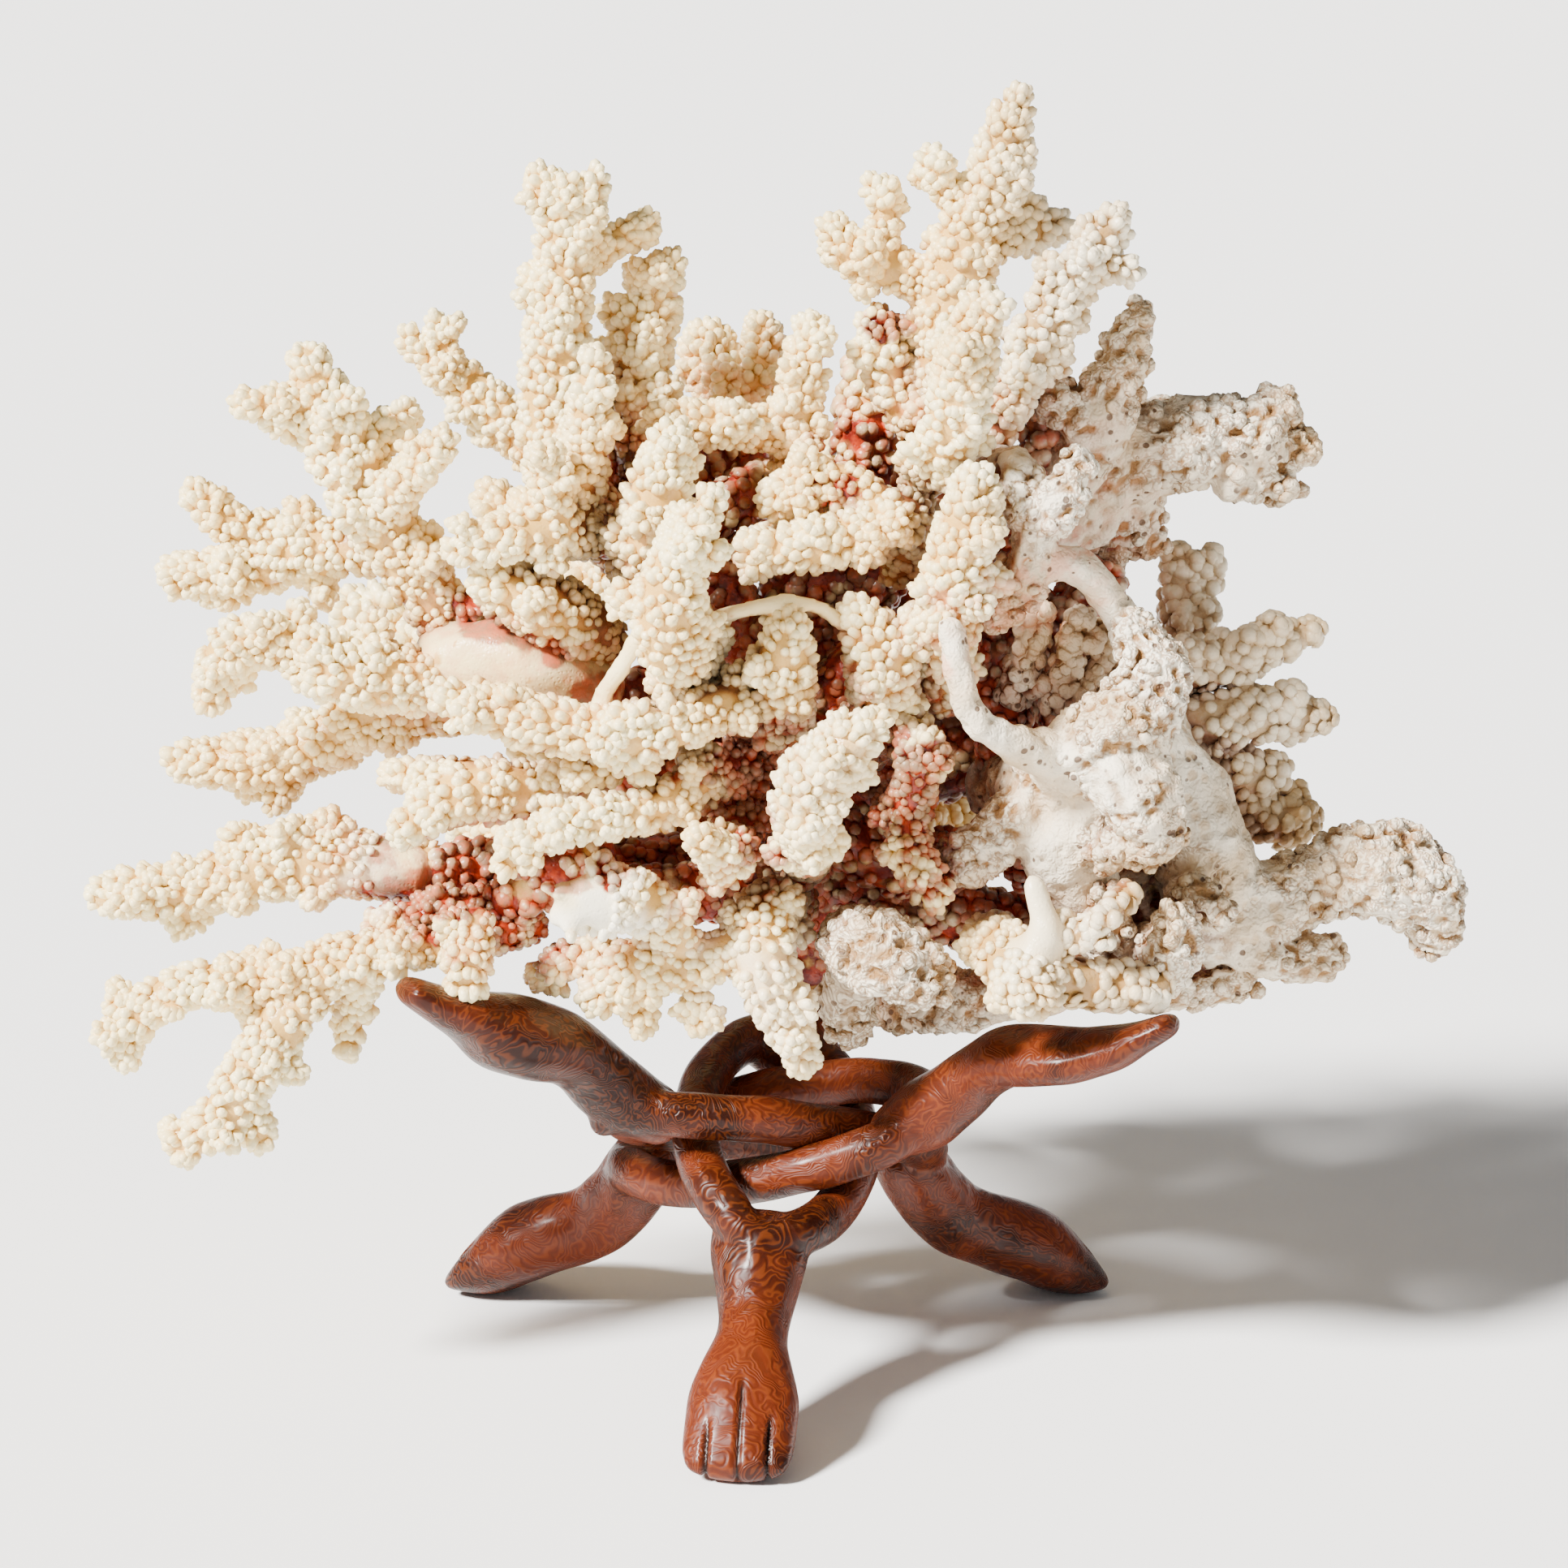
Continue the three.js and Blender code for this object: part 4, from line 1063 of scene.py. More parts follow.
    def wear(self, points: np.ndarray) -> np.ndarray:
        """How far the worn surface stands out or in: crusty ridges at the ends, and round pits."""
        points_in_pit = 230
        crust = self.crusted(points)
        ridges = 1 - np.abs(wobble(points, 8, self.seed + 5, 2)) * 2.4
        out = crust * (1.0 * np.clip(ridges, -1, 1) + 0.6 * wobble(points, 4.2, self.seed + 9, 1))
        out += (1 - crust) * 0.5 * wobble(points, 7, self.seed + 11, 2)
        rng = np.random.default_rng(self.seed)
        count = max(1, len(points) // points_in_pit)
        tree = KDTree(len(points))
        for number, point in enumerate(points):
            tree.insert(point, number)
        tree.balance()
        for middle in rng.choice(len(points), count, replace=False):
            reach = rng.uniform(1.2, 2.1)
            found = tree.find_range(points[middle], reach)
            numbers = [number for _, number, _ in found]
            away = np.array([distance for _, _, distance in found]) / reach
            out[numbers] -= 0.8 * reach * (1 - away**2)
        return out

    def paint(
        self,
        mesh: bpy.types.Mesh,
        points: np.ndarray,
        normals: np.ndarray,
        height: np.ndarray,
        crowding: Crowding,
    ) -> None:
        """Writes the masks that the coral's finish reads.

        Args:
            mesh: what the masks are kept on: coat_mask holds the height above the bare branch,
            which sets painted shade in the creases, the crowding, which sets painted shade in
            crowded hollows, and the bleaching; hue_mask rust, salmon and white; wear_mask
            crust, cells and maze.
            points: places of its vertices, in millimetres.
            normals: their outward directions.
            height: the height mask.
            crowding: how dense the whole colony is.
        """
        # Crowding in front of each point sets painted shade: crowded hollows get little light.
        near = crowding.read(crowding.near, points + normals * 9)
        far = crowding.read(crowding.far, points + normals * 14)
        hollow_shade = np.clip(near * 0.9 + np.clip((far - 0.2) * 2.4, 0, 1) * 0.8, 0, 1)
        bleach = np.full(len(points), 1.0 if self.worn else 0.8)
        if not self.bleached:
            bleach = np.clip((points[:, 0] - 42) / 40, 0, 0.75)
            if self.name.startswith("coral_rear"):
                bleach *= 0.4
        wear = np.zeros((len(points), 3))
        if self.worn:
            wear[:, 0] = self.crusted(points)
            wear[:, 1] = self.name == "coral_right_hook"
            wear[:, 2] = self.name == "coral_brain_plate"
        write_masks(
            mesh,
            coat_mask=np.column_stack([height, hollow_shade, bleach]),
            hue_mask=self.stains(points, crowding, bleach),
            wear_mask=wear,
        )

    def stains(self, points: np.ndarray, crowding: Crowding, bleach: np.ndarray) -> np.ndarray:
        """How rusty, salmon and white each point is.

        Args:
            points: places, in millimetres.
            crowding: where the stems are, about which the colony is rusty.
            bleach: how bleached each point is.

        Returns:
            Shares of rust, salmon and white, one row for each point.
        """
        stains = np.zeros((len(points), 3))
        rough = wobble(points, 14, 77, 3)
        for patch in PATCHES:
            middle = on_sight_line([[patch.across, patch.up, patch.behind, 1]])[0, :3]
            away = np.linalg.norm((points - middle) * np.array([1, 0.55, 1]), axis=1) / patch.reach
            share = np.clip((1.15 - away + 0.35 * rough) * 1.6, 0, 1) * patch.strength
            column = list(Hue).index(patch.hue)
            stains[:, column] = np.maximum(stains[:, column], share)
        bark = crowding.to_stems(points)
        # Rust reaches 16 mm from the stems, fades under the crown and is weaker towards the back.
        rooted = np.clip((16 - bark) / 11, 0, 1) * np.clip((272 - points[:, 2]) / 20, 0, 1)
        rooted *= np.clip(1.3 - points[:, 1] / 110, 0.55, 1)
        deep = 1.0 if self.name == "coral_stems" else 0.85 - 0.45 * bleach
        rust = deep * rooted * np.clip(0.75 + 0.5 * rough, 0, 1)
        salmon = 0.6 * deep * np.clip((26 - bark) / 16, 0, 1)
        stains[:, 0] = np.maximum(stains[:, 0], rust)
        stains[:, 1] = np.maximum(stains[:, 1], salmon)
        return stains


def in_smooth_place(points: np.ndarray) -> np.ndarray:
    """Whether each point lies in one of the smooth stretches."""
    middles = on_sight_line(SMOOTH_PLACES)
    flattened = (points[:, None] - middles[None, :, :3]) * np.array([1, 0.6, 1])
    away = np.linalg.norm(flattened, axis=2) / middles[None, :, 3]
    return away.min(1) < 0.9 + 0.18 * wobble(points, 12, 5, 2)


def gathered(
    rows: bpy.types.bpy_prop_collection, key: str, width: int, kind: type
) -> np.ndarray:
    """One property of every row of a mesh, that many values wide."""
    values = np.empty(len(rows) * width, kind)
    rows.foreach_get(key, values)
    return values.reshape(-1, width)


def fused(
    soup: Soup, name: str, voxel: float, smoothing: int
) -> tuple[np.ndarray, np.ndarray, np.ndarray]:
    """Fuses overlapping closed surfaces into one skin.

    Args:
        soup: the surfaces.
        name: what the passing object is called.
        voxel: size of the cells, in millimetres.
        smoothing: how many times each point is moved to the middle of its neighbours.

    Returns:
        Points in millimetres, quads and normals of the skin.
    """
    passing = bpy.data.objects.new(name + "_soup", soup.mesh(name + "_soup"))
    bpy.context.scene.collection.objects.link(passing)
    remesh = passing.modifiers.new("fuse", "REMESH")
    remesh.mode = "VOXEL"
    remesh.voxel_size = voxel * MM
    smooth = passing.modifiers.new("soften", "SMOOTH")
    smooth.factor = 0.5
    smooth.iterations = smoothing
    graph = bpy.context.evaluated_depsgraph_get()
    skin = bpy.data.meshes.new_from_object(passing.evaluated_get(graph))
    points = gathered(skin.vertices, "co", 3, np.float32)
    normals = gathered(skin.vertices, "normal", 3, np.float32)
    corners = gathered(skin.loops, "vertex_index", 1, np.int32)
    before = passing.data
    bpy.data.objects.remove(passing)
    bpy.data.meshes.remove(before)
    bpy.data.meshes.remove(skin)
    return points / MM, corners.reshape(-1, 4), normals


# The stand: along, height, half width and half height of each section, foot at the front.
FOOT_RUN = np.array([
    [-101, 4.4, 13.4, 4.2], [-97.5, 6.2, 14.8, 7.2], [-91, 9.8, 15.2, 9.6], [-83, 16, 15, 11.2],
    [-73, 20.5, 12.3, 11.2], [-64, 24.2, 9.8, 10.6], [-57, 28.2, 9.4, 10.6],
    [-50, 35.5, 11.5, 10.6],
    [-44, 42.5, 13.5, 9.5], [-39, 48.5, 13, 7],
], float)
REAR_ARM = np.array([
    [38, 72, 12.5, 7], [45, 77.5, 13, 9.5], [53, 84.5, 11.5, 9.5], [61, 91, 11, 8.6],
    [70, 96.5, 13.5, 8.4], [81, 100, 15.5, 8], [92, 104, 15, 7.4], [102, 109.5, 11.5, 5.6],
    [110, 114, 7.5, 3.8],
], float)
RIGHT_ARM = np.array([
    [38, 69.5, 12.5, 8], [46, 74.8, 13, 10.4], [54, 81.3, 11.5, 9.2], [62, 89.5, 11.5, 8],
    [70, 95.2, 14, 8.4], [81, 96.6, 15.5, 7.4], [93, 98.8, 15, 6.8], [103, 102.5, 12, 6],
    [112, 107.3, 8, 4.2], [118, 111, 5.5, 3],
], float)
LEFT_ARM = np.array([
    [38, 74, 12.5, 8.5], [46, 78.8, 13, 10], [53, 85, 11.5, 10], [59, 91.6, 11.5, 8.8],
    [66, 97.2, 14, 10.2], [76, 100.9, 15.5, 11], [85, 104, 15.5, 10.6], [93, 109.3, 13.5, 7.6],
    [102, 114.2, 10.5, 5.4], [110, 118.8, 7.5, 3.6],
], float)


@dataclass
class StandLeg:
    """One carved leg: a foot and an arm joined by a long eye of two strands."""

    name: str
    bearing: float
    arm: np.ndarray
    seed: int
    strand_radius: float = 6.5
    eye_half_width: float = 22.0
    eye_half_lift: float = 8.0
    eye_half_length: float = 47.0
    eye_roundness: float = 0.6
    middle_height: float = 62.5
    slope: float = 0.27
    toe_grooves: tuple[tuple[float, float], ...] = ((-8.0, 9.0), (0.6, 16.0), (8.5, 11.0))
    toe_tip: float = -104.5
    groove_depth: float = 1.6

    def swept(self, soup: Soup, sections: np.ndarray, sides: int = 26) -> None:
        """Adds a closed skin over oval sections square to their own run.

        Args:
            soup: what it is added to.
            sections: x, y, z, half width and half height of each section.
            sides: points round a section.
        """
        middle = sections[:, :3]
        ahead = unit(np.gradient(middle, axis=0))
        side = unit(np.cross(ahead, [0, 0, 1.0]))
        rise = np.cross(side, ahead)
        lift = np.radians([84, 66, 45, 22])
        caps = []
        for index, sign in ((0, -1), (-1, 1)):
            shift = sign * ahead[index] * sections[index, 4] * 0.8
            order = lift if sign < 0 else lift[::-1]
            caps.append([
                middle[index] + shift * np.sin(order)[:, None],
                sections[index, 3] * np.cos(order),
                sections[index, 4] * np.cos(order),
                np.tile(side[index], (4, 1)),
                np.tile(rise[index], (4, 1)),
            ])
        inner = [middle, sections[:, 3], sections[:, 4], side, rise]
        middle, wide, high, side, rise = (
            np.concatenate([a, b, c]) for a, b, c in zip(caps[0], inner, caps[1])
        )
        turn = np.linspace(0, 2 * np.pi, sides, endpoint=False)
        rings = middle[:, None] + (wide[:, None] * np.cos(turn))[..., None] * side[:, None]
        rings = rings + (high[:, None] * np.sin(turn))[..., None] * rise[:, None]
        soup.add(*closed_tube(rings, middle[0], middle[-1]))

    @staticmethod
    def eased(run: np.ndarray) -> np.ndarray:
        """Sections every 1.5 mm along a run, with a smooth curve through its heights and widths."""
        step, width = 1.5, 7
        lengths = np.hypot(*np.diff(run[:, :2], axis=0).T)
        steps = np.concatenate([[0], np.cumsum(lengths)])
        places = np.arange(0, steps[-1], step)
        coarse = np.column_stack([np.interp(places, steps, column) for column in run.T])
        kernel = np.hanning(width + 2)[1:-1]
        kernel /= kernel.sum()
        margin = ((width // 2, width // 2), (0, 0))
        padded = np.pad(coarse, margin, mode="reflect", reflect_type="odd")
        path = [np.convolve(column, kernel, mode="valid") for column in padded.T]
        return np.column_stack([np.zeros(len(places)), *path])

    def strand(self, hand: float) -> np.ndarray:
        """Sections of one strand of the eye, which bows aside and lifts or sinks with it."""
        along = np.linspace(-self.eye_half_length - 7, self.eye_half_length + 7, 72)
        share = np.clip(along * 0.985 / self.eye_half_length, -1, 1)
        open_share = (1 - share**2) ** self.eye_roundness
        height = self.middle_height + self.slope * along - hand * self.eye_half_lift * open_share
        aside = hand * self.eye_half_width * open_share
        past = np.clip((np.abs(along) - self.eye_half_length + 5) / 12, 0, 1)
        height -= np.where(along < 0, 7.0, 3.0) * past**2
        radius = self.strand_radius * (1 - 0.35 * past)
        return np.column_stack([aside, along, height, radius, radius])

    def build(self, material: bpy.types.Material) -> bpy.types.Object:
        """Fuses the leg's parts, cuts the toe grooves and turns it to its bearing."""
        soup = Soup()
        self.swept(soup, self.eased(FOOT_RUN))
        self.swept(soup, self.eased(self.arm))
        self.swept(soup, self.strand(-1))
        self.swept(soup, self.strand(1))
        points, faces, normals = fused(soup, self.name, STAND_VOXEL, 12)
        points = points + normals * 0.35 * wobble(points, 30, self.seed, 2)[:, None]
        grooves = self.grooves(points)
        points = points - normals * self.groove_depth * grooves[:, None]
        points[:, 2] = np.maximum(points[:, 2], 0.0)
        turn = math.radians(self.bearing)
        cos, sin = math.cos(turn), math.sin(turn)
        placed = points @ np.array([[cos, sin, 0], [-sin, cos, 0], [0, 0, 1]]) - CENTRE_OF_ALL
        mesh = mesh_from(self.name + "_carved", placed * MM, [faces])
        write_masks(
            mesh,
            grain_place=points * MM + self.seed * 0.37,
            # The groove mask marks the toe grooves, which the wood finish paints near black as
            # painted shade.
            cut_mask=np.repeat(np.clip(grooves * 1.6, 0, 1), 3),
        )
        return new_piece(self.name + "_carved", mesh, material)

    def grooves(self, points: np.ndarray) -> np.ndarray:
        """How deep each point lies in a toe groove, 0 to 1."""
        depth = np.zeros(len(points))
        for across, length in self.toe_grooves:
            narrow = np.clip(1 - np.abs(points[:, 0] - across), 0, 1)
            front = np.clip((self.toe_tip + length - points[:, 1]) / 4, 0, 1)
            depth = np.maximum(depth, narrow * front)
        return depth * (points[:, 2] > 1.0)


class Graph:
    """Short ways to build a shader node tree."""

    def __init__(self, tree: bpy.types.NodeTree) -> None:
        """Keeps the tree that nodes are added to."""
        self.tree = tree

    def node(self, kind: str, **settings: object) -> bpy.types.Node:
        """Adds a node and sets its properties; names that start with in_ set input sockets."""
        made = self.tree.nodes.new(kind)
        for key, value in settings.items():
            if key.startswith("in_"):
                made.inputs[key[3:].replace("_", " ")].default_value = value
            else:
                setattr(made, key, value)
        return made

    def link(self, source: bpy.types.NodeSocket, target: bpy.types.NodeSocket) -> None:
        """Joins two sockets."""
        self.tree.links.new(source, target)

    def feed(self, socket: bpy.types.NodeSocket, value: object) -> None:
        """Joins the socket to another one, or gives it a plain value."""
        if isinstance(value, bpy.types.NodeSocket):
            self.link(value, socket)
        else:
            socket.default_value = value

    def math(
        self, operation: str, a: object, b: object = 0.0, clamp: bool = False
    ) -> bpy.types.NodeSocket:
        """A sum, product or the like of two values or sockets."""
        made = self.node("ShaderNodeMath", operation=operation, use_clamp=clamp)
        self.feed(made.inputs[0], a)
        self.feed(made.inputs[1], b)
        return made.outputs[0]

    def plus(self, a: object, b: object) -> bpy.types.NodeSocket:
        """The sum of two values or sockets."""
        return self.math("ADD", a, b)

    def minus(self, a: object, b: object) -> bpy.types.NodeSocket:
        """What is left of one value or socket without the other."""
        return self.math("SUBTRACT", a, b)

    def times(self, a: object, b: object, clamp: bool = False) -> bpy.types.NodeSocket:
        """The product of two values or sockets."""
        return self.math("MULTIPLY", a, b, clamp)

    def mix(self, share: object, a: object, b: object) -> bpy.types.NodeSocket:
        """A colour between two colours or sockets."""
        made = self.node("ShaderNodeMix", data_type="RGBA", blend_type="MIX", clamp_factor=True)
        for place, value in ((0, share), (6, a), (7, b)):
            self.feed(made.inputs[place], value)
        return made.outputs[2]

    def ramp(self, value: bpy.types.NodeSocket, low: float, high: float) -> bpy.types.NodeSocket:
        """Spreads a value from low..high to 0..1, with soft ends."""
        made = self.node("ShaderNodeMapRange", interpolation_type="SMOOTHSTEP")
        self.link(value, made.inputs[0])
        made.inputs[1].default_value = low
        made.inputs[2].default_value = high
        return made.outputs[0]

    def noise(
        self, place: bpy.types.NodeSocket, scale: float, detail: float = 3, rough: float = 0.55
    ) -> bpy.types.NodeOutputs:
        """Soft noise at a place: its value, then its colour."""
        made = self.node("ShaderNodeTexNoise", in_Scale=scale, in_Detail=detail, in_Roughness=rough)
        self.link(place, made.inputs["Vector"])
        return made.outputs

    def cells(
        self, place: bpy.types.NodeSocket, scale: float, chance: float
    ) -> bpy.types.NodeSocket:
        """Distance of a place from the nearest of many scattered points."""
        made = self.node(
            "ShaderNodeTexVoronoi", feature="F1", in_Scale=scale, in_Randomness=chance
        )
        self.link(place, made.inputs["Vector"])
        return made.outputs["Distance"]

    def split(self, vector: bpy.types.NodeSocket) -> bpy.types.NodeOutputs:
        """The three values of a vector."""
        made = self.node("ShaderNodeSeparateXYZ")
        self.link(vector, made.inputs[0])
        return made.outputs

    def read(self, name: str) -> bpy.types.NodeSocket:
        """A mask of the mesh, as a vector."""
        return self.node("ShaderNodeAttribute", attribute_name=name).outputs["Vector"]

    def bump(
        self, height: bpy.types.NodeSocket, strength: float, depth: float
    ) -> bpy.types.NodeSocket:
        """The direction of a surface with fine relief; the depth is in metres."""
        made = self.node("ShaderNodeBump", in_Strength=strength, in_Distance=depth)
        self.link(height, made.inputs["Height"])
        return made.outputs[0]


def shade(red: int, green: int, blue: int) -> tuple[float, float, float, float]:
    """A screen colour, 0 to 255, as the linear colour that shaders take."""
    parts = [c / 255 for c in (red, green, blue)]
    linear = [c / 12.92 if c <= 0.04045 else ((c + 0.055) / 1.055) ** 2.4 for c in parts]
    return (*linear, 1.0)


Sockets = dict[str, str]


def new_group(
    name: str, inputs: Sockets, outputs: Sockets
) -> tuple[bpy.types.NodeTree, Graph, bpy.types.NodeOutputs, bpy.types.NodeInputs]:
    """Makes an empty shader node group.

    Args:
        name: name of the group.
        inputs: kind of each input socket, by its name.
        outputs: kind of each output socket, by its name.

    Returns:
        The group, its graph, the sockets of its inputs and the sockets of its outputs.
    """
    tree = bpy.data.node_groups.new(name, "ShaderNodeTree")
    for direction, sockets in (("INPUT", inputs), ("OUTPUT", outputs)):
        for socket, kind in sockets.items():
            kind = "NodeSocket" + kind
            tree.interface.new_socket(socket, in_out=direction, socket_type=kind)
    g = Graph(tree)
    return tree, g, g.node("NodeGroupInput").outputs, g.node("NodeGroupOutput").inputs


def coral_group() -> bpy.types.NodeTree:
    """The coral's colour and fine relief, from its painted masks and the place on the object.

    Knob heads are ivory, the creases between them warm tan deepened with painted shade, crowded
    hollows dark brown painted shade, and bleached stretches chalky grey. Rust, salmon and white lie
    over these where the masks say so. The relief is fine grain and tiny round cups.
    """
    tree, g, given, result = new_group(
        "coral_coat",
        {"Place": "Vector", "Coat": "Vector", "Hues": "Vector"},
        {"Color": "Color", "Height": "Float"},
    )
    height, hollow_shade, bleach = g.split(given["Coat"])
    rusty, pinkish, white = g.split(given["Hues"])
    place = given["Place"]
    broad = g.noise(place, 38, 2)[0]
    grain = g.noise(place, 900, 1, 0.6)[0]
    mottle = g.noise(place, 160, 3, 0.65)[0]
    tall = g.ramp(g.plus(height, g.times(g.minus(grain, 0.5), 0.2)), 0.05, 0.75)
    cream = g.mix(g.ramp(broad, 0.35, 0.7), shade(255, 239, 186), shade(248, 218, 152))
    # Crease colour: the coral's warm tan deepened as painted shade, taken where the height mask is
    # low.
    crease_shade = g.mix(bleach, shade(212, 166, 84), shade(150, 112, 66))
    fresh = g.mix(tall, crease_shade, cream)
    chalk = g.mix(g.ramp(broad, 0.3, 0.72), shade(246, 236, 214), shade(206, 180, 140))
    worn = g.mix(tall, crease_shade, chalk)
    base = g.mix(bleach, fresh, worn)
    # Painted shade: crowded hollows turn dark brown, less so on the knob heads.
    deep_shade_tone = g.mix(g.ramp(hollow_shade, 0.42, 0.95), shade(168, 74, 28), shade(80, 18, 5))
    dark = g.times(g.ramp(hollow_shade, 0.42, 0.9), g.minus(1.0, g.times(tall, 0.4)))
    shaded = g.mix(g.times(dark, 0.95), base, deep_shade_tone)
    salmon = g.times(pinkish, g.ramp(mottle, 0.38, 0.62))
    pinked = g.mix(g.times(salmon, 0.8), shaded, shade(224, 128, 88))
    rust_tone = g.mix(g.ramp(mottle, 0.4, 0.65), shade(100, 16, 4), shade(172, 54, 18))
    edge = g.plus(rusty, g.times(g.minus(mottle, 0.5), 0.9))
    low = g.minus(1.15, g.times(tall, 0.4))
    rust = g.times(g.ramp(edge, 0.35, 0.75), low, clamp=True)
    rusted = g.mix(rust, pinked, rust_tone)
    whitened = g.mix(g.times(white, g.minus(1.0, rust)), rusted, shade(252, 243, 218))

    g.link(whitened, result["Color"])
    dents = g.ramp(g.cells(place, 820, 0.9), 0.12, 0.42)
    relief = g.plus(g.times(dents, 0.5), g.times(grain, 0.9))
    g.link(relief, result["Height"])
    return tree


def worn_group() -> bpy.types.NodeTree:
    """What long wear adds: small holes, crusty folds, round cells and maze lines, with painted
    shade in the holes, the cracks between the folds, the hollows of the cells and the maze grooves.
    """
    tree, g, given, result = new_group(
        "coral_wear",
        {"Place": "Vector", "Color": "Color", "Wear": "Vector"},
        {"Color": "Color", "Height": "Float"},
    )
    crust, celled, mazed = g.split(given["Wear"])
    place = given["Place"]

    fold = g.math("ABSOLUTE", g.minus(g.noise(place, 300, 2, 0.6)[0], 0.5))
    crack = g.times(g.minus(1.0, g.ramp(fold, 0.0, 0.07)), crust)
    # The cracks between crusty folds are painted brown: painted shade in them.
    cracks_shaded = g.mix(g.times(crack, 0.7), given["Color"], shade(150, 108, 66))

    holes = g.cells(place, 270, 1)
    few = g.ramp(g.noise(place, 70, 1)[0], 0.4, 0.52)
    wide = g.times(g.minus(g.noise(place, 120, 1)[0], 0.1), 0.55)
    hole = g.times(g.ramp(g.minus(wide, holes), 0.0, 0.08), few)
    # The small holes are painted dark brown: painted shade inside them.
    holes_shaded = g.mix(g.times(hole, 0.88), cracks_shaded, shade(84, 54, 32))

    rim = g.ramp(g.cells(place, 205, 0.75), 0.22, 0.42)
    ring = g.times(g.minus(1.0, rim), g.times(celled, 0.7))
    # The middles of the cells are tinted tan: painted shade in their hollows, which leaves the
    # raised rims looking lit.
    cells_shaded = g.mix(ring, holes_shaded, shade(206, 178, 138))

    lines = g.math("SINE", g.times(g.noise(place, 95, 1, 0.3)[0], 95.0))
    groove = g.times(g.ramp(g.times(lines, -1.0), 0.1, 0.8), mazed)
    # The maze grooves are darkened: painted shade in them.
    maze_shaded = g.mix(g.times(groove, 0.6), cells_shaded, shade(150, 120, 86))
    g.link(maze_shaded, result["Color"])

    relief = g.minus(g.times(rim, g.times(celled, 1.4)), g.times(hole, 3.0))
    relief = g.minus(relief, g.times(groove, 3.0))
    ridge = g.times(g.ramp(fold, 0.0, 0.12), g.plus(1.2, g.times(crust, 3.0)))
    g.link(g.plus(relief, ridge), result["Height"])
    return tree


def burl_group() -> bpy.types.NodeTree:
    """The swirling figure of burl wood: contour lines of a slow, twice-bent noise.

    The noise is turned into many thin lines by a sine; light lines lie on red-brown ground with
    dark clouds. The relief has the shallow facets that the carver's knife left.
    """
    tree, g, given, result = new_group(
        "burl_figure",
        {"Place": "Vector", "Groove Shade": "Vector"},
        {"Color": "Color", "Roughness": "Float", "Height": "Float"},
    )
    place = given["Place"]
    bend = g.noise(place, 26, 3, 0.5)
    push = g.node("ShaderNodeVectorMath", operation="MULTIPLY_ADD")
    g.link(bend["Color"], push.inputs[0])
    push.inputs[1].default_value = (0.045, 0.045, 0.045)
    g.link(place, push.inputs[2])
    bent = push.outputs[0]
    slow = g.noise(bent, 60, 3, 0.5)[0]
    lines = g.math("SINE", g.times(slow, 150))
    thin = g.ramp(lines, 0.0, 1.0)
    clouds = g.ramp(g.noise(bent, 30, 3)[0], 0.36, 0.66)
    ground = g.mix(clouds, shade(34, 9, 3), shade(88, 32, 9))
    glow = g.mix(g.times(thin, 0.18), ground, shade(150, 74, 26))
    dark = g.ramp(g.times(lines, -1.0), 0.6, 1.0)
    figured = g.mix(g.times(dark, 0.18), glow, shade(30, 8, 4))
    # Toe grooves are painted near black: painted shade in the notches.
    cut = g.split(given["Groove Shade"])[0]
    g.link(g.mix(cut, figured, shade(22, 7, 3)), result["Color"])
    g.link(g.plus(0.36, g.times(clouds, 0.1)), result["Roughness"])
    facets = g.cells(bent, 85, 1)
    g.link(g.plus(g.times(lines, 0.4), g.times(facets, 9.0)), result["Height"])
    return tree


def new_material(name: str) -> tuple[bpy.types.Material, Graph, bpy.types.NodeInputs]:
    """A new material, its graph and the sockets of its surface."""
    made = bpy.data.materials.new(name)
    made.use_nodes = True
    return made, Graph(made.node_tree), made.node_tree.nodes["Principled BSDF"].inputs


@dataclass(frozen=True)
class CoralFinish:
    """Calcite with a faint gloss, fresh or worn."""

    name: str = "coral_fresh"
    roughness: float = 0.36
    gloss: float = 0.5
    relief: float = 0.35
    depth: float = 0.0004
    worn: bool = False

    def material(
        self, coat_look: bpy.types.NodeTree, wear_look: bpy.types.NodeTree
    ) -> bpy.types.Material:
        """Builds the material from the shared groups.

        Args:
            coat_look: the group of every coral.
            wear_look: the group that lies over it where the coral is worn.

        Returns:
            The material.
        """
        made, g, surface = new_material(self.name)
        place = g.node("ShaderNodeTexCoord").outputs["Object"]
        look = g.node("ShaderNodeGroup", node_tree=coat_look)
        g.link(place, look.inputs["Place"])
        g.link(g.read("coat_mask"), look.inputs["Coat"])
        g.link(g.read("hue_mask"), look.inputs["Hues"])
        colour, height = look.outputs
        if self.worn:
            wear = g.node("ShaderNodeGroup", node_tree=wear_look)
            g.link(place, wear.inputs["Place"])
            g.link(g.read("wear_mask"), wear.inputs["Wear"])
            g.link(colour, wear.inputs["Color"])
            height = g.plus(height, wear.outputs["Height"])
            colour = wear.outputs["Color"]
        g.link(colour, surface["Base Color"])
        g.link(g.bump(height, self.relief, self.depth), surface["Normal"])
        surface["Roughness"].default_value = self.roughness
        surface["Specular IOR Level"].default_value = self.gloss
        return made


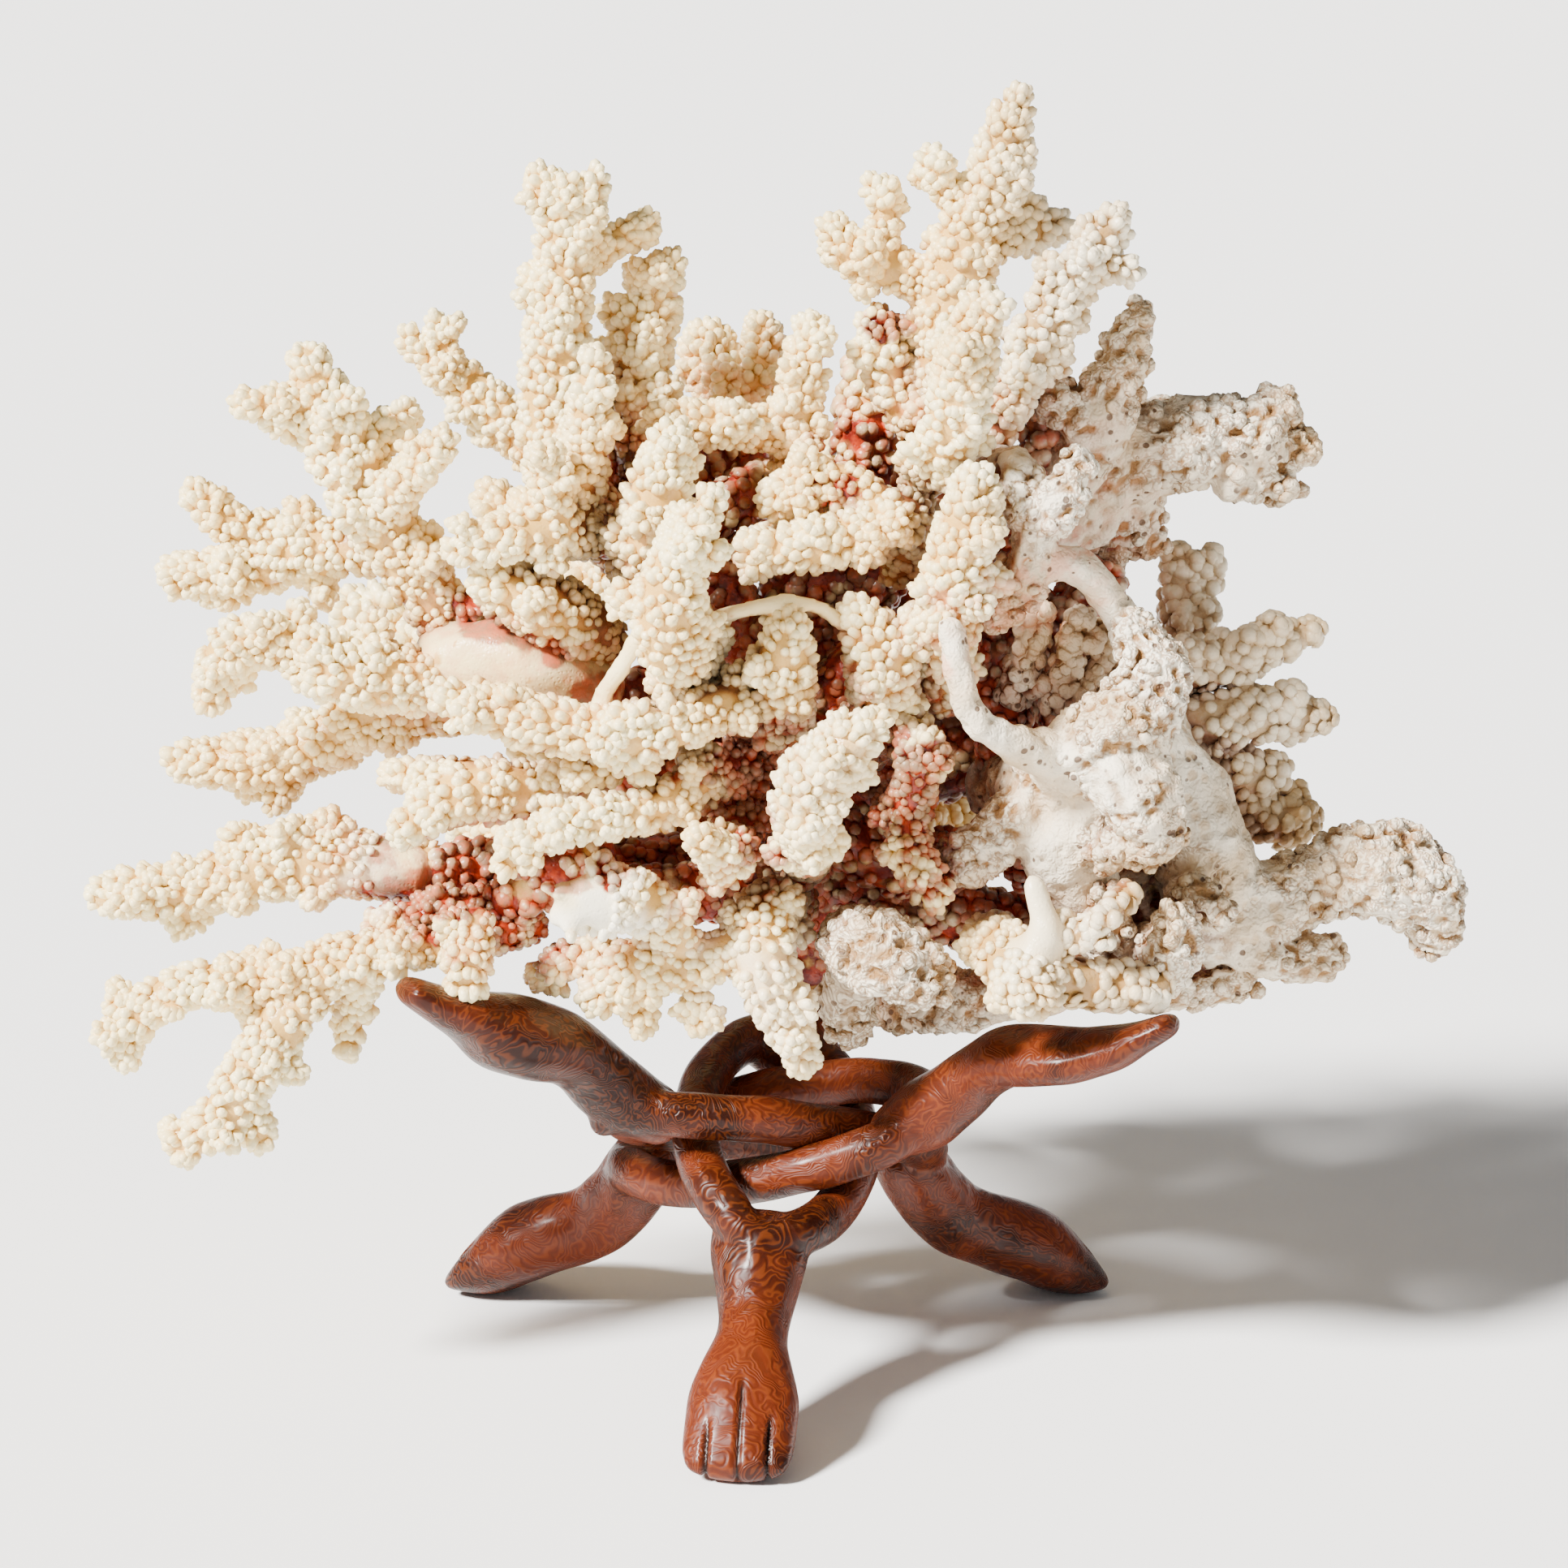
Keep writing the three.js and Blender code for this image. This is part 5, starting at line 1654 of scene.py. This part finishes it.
@dataclass(frozen=True)
class BurlFinish:
    """Polished burl wood under a satin lacquer."""

    name: str = "burl_wood"
    coat: float = 0.14
    coat_roughness: float = 0.2
    gloss: float = 0.14
    relief: float = 0.5
    depth: float = 0.0003

    def material(self, group: bpy.types.NodeTree) -> bpy.types.Material:
        """Builds the material from the burl group, read at each leg's own uncut place."""
        made, g, surface = new_material(self.name)
        look = g.node("ShaderNodeGroup", node_tree=group)
        g.link(g.read("grain_place"), look.inputs["Place"])
        g.link(g.read("cut_mask"), look.inputs["Groove Shade"])
        g.link(look.outputs["Color"], surface["Base Color"])
        g.link(look.outputs["Roughness"], surface["Roughness"])
        g.link(g.bump(look.outputs["Height"], self.relief, self.depth), surface["Normal"])
        surface["Specular IOR Level"].default_value = self.gloss
        surface["Coat Weight"].default_value = self.coat
        surface["Coat Roughness"].default_value = self.coat_roughness
        return made


@dataclass
class Studio:
    """Pale floor, soft lights and the camera at the photograph's angle."""

    elevation: float = 14.0
    lens: float = 110.1
    aside: float = 0.00466
    floor_size: float = 30.0
    sky_power: float = 0.24
    key_power: float = 17.0
    key_spread: float = 11.0
    fill_power: float = 5.0

    def build(self) -> None:
        """Sets up everything that is not part of the object."""
        self.floor()
        self.sky()
        self.key()
        self.fill()
        self.camera()

    def floor(self) -> None:
        """A wide plain floor."""
        half = self.floor_size / 2
        corners = np.array([[-half, -half, 0], [half, -half, 0], [half, half, 0], [-half, half, 0]])
        made, _, surface = new_material("pale_floor")
        surface["Base Color"].default_value = (0.96, 0.96, 0.96, 1)
        surface["Roughness"].default_value = 0.9
        surface["Specular IOR Level"].default_value = 0.1
        floor = new_piece("floor", mesh_from("floor", corners, [np.array([[0, 1, 2, 3]])]), made)

    def sky(self) -> None:
        """An even white light from all round."""
        world = bpy.data.worlds.new("studio")
        bpy.context.scene.world = world
        world.use_nodes = True
        background = world.node_tree.nodes["Background"]
        background.inputs[0].default_value = (1.0, 1.0, 1.0, 1)
        background.inputs[1].default_value = self.sky_power

    def key(self) -> None:
        """The key: a broad even light from the left, in front and above."""
        lamp = bpy.data.lights.new("key", "SUN")
        lamp.energy = self.key_power
        lamp.angle = math.radians(self.key_spread)
        lamp.color = (1.0, 0.97, 0.93)
        self.hang(lamp, Vector(), Vector((0.76, 0.52, -0.74)))

    def fill(self) -> None:
        """A weak square light from the right and in front, turned to the middle of the object."""
        lamp = bpy.data.lights.new("fill", "AREA")
        lamp.size = 1.6
        lamp.energy = self.fill_power
        lamp.color = (0.96, 0.98, 1.0)
        place = Vector((1.5, -1.5, 0.5))
        self.hang(lamp, place, Vector((0, 0, 0.17)) - place)

    @staticmethod
    def hang(lamp: bpy.types.Light, place: Vector, toward: Vector) -> None:
        """Puts a light in the scene at a place, shining in a direction."""
        held = bpy.data.objects.new(lamp.name, lamp)
        held.location = place
        held.rotation_euler = toward.to_track_quat("-Z", "Y").to_euler()
        bpy.context.scene.collection.objects.link(held)

    def camera(self) -> None:
        """The camera, fitted to where the three feet stand in the photograph."""
        lens = bpy.data.cameras.new("camera")
        lens.lens = self.lens
        lens.sensor_width = 36
        lens.shift_x = self.aside
        lens.dof.use_dof = False
        eye = bpy.data.objects.new("camera", lens)
        eye.location = Vector((VIEWPOINT - CENTRE_OF_ALL) * MM)
        eye.rotation_euler = Euler((math.radians(90 - self.elevation), 0, 0))
        bpy.context.scene.collection.objects.link(eye)
        bpy.context.scene.camera = eye


def triangles(mesh: bpy.types.Mesh) -> int:
    """How many triangles the mesh comes to, with every quad counted as two."""
    return len(mesh.loops) - 2 * len(mesh.polygons)


def main() -> None:
    """Builds the stand, the coral and the studio, in that order, and notes the sizes."""
    burl = BurlFinish().material(burl_group())
    legs = [
        StandLeg("stand_leg_front", -6, REAR_ARM, 1),
        StandLeg("stand_leg_right", 119, LEFT_ARM, 2),
        StandLeg("stand_leg_left", 241, RIGHT_ARM, 3),
    ]
    for leg in legs:
        piece = leg.build(burl)
        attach(piece, "root")
        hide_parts(leg.name)
        LOG.info("%s: %d triangles", piece.name, triangles(piece.data))
    limbs = [Limb("coral_stems", STEM_RUNS, STEMS_SEED, False, False)]
    for seed, (name, runs) in enumerate(LIMB_RUNS.items(), STEMS_SEED + 1):
        limbs.append(Limb(name, runs, seed, name in WORN_LIMBS, name in BLEACHED_LIMBS))
    branches = [branch for limb in limbs for branch in limb.branches]
    crowding = Crowding(branches)
    near = np.vstack([branch.samples() for branch in branches])
    looks = coral_group(), worn_group()
    fresh = CoralFinish().material(*looks)
    eroded = CoralFinish("coral_worn", roughness=0.6, gloss=0.35, relief=0.5, worn=True)
    worn = eroded.material(*looks)
    total = 0
    for limb in limbs:
        piece = limb.build(crowding, near, worn if limb.worn else fresh)
        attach(piece, "root")
        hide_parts(limb.name)
        total += triangles(piece.data)
        LOG.info("%s: %d triangles", piece.name, triangles(piece.data))
    LOG.info("coral in all: %d triangles", total)
    Studio().build()


if __name__ == "__main__":
    main()
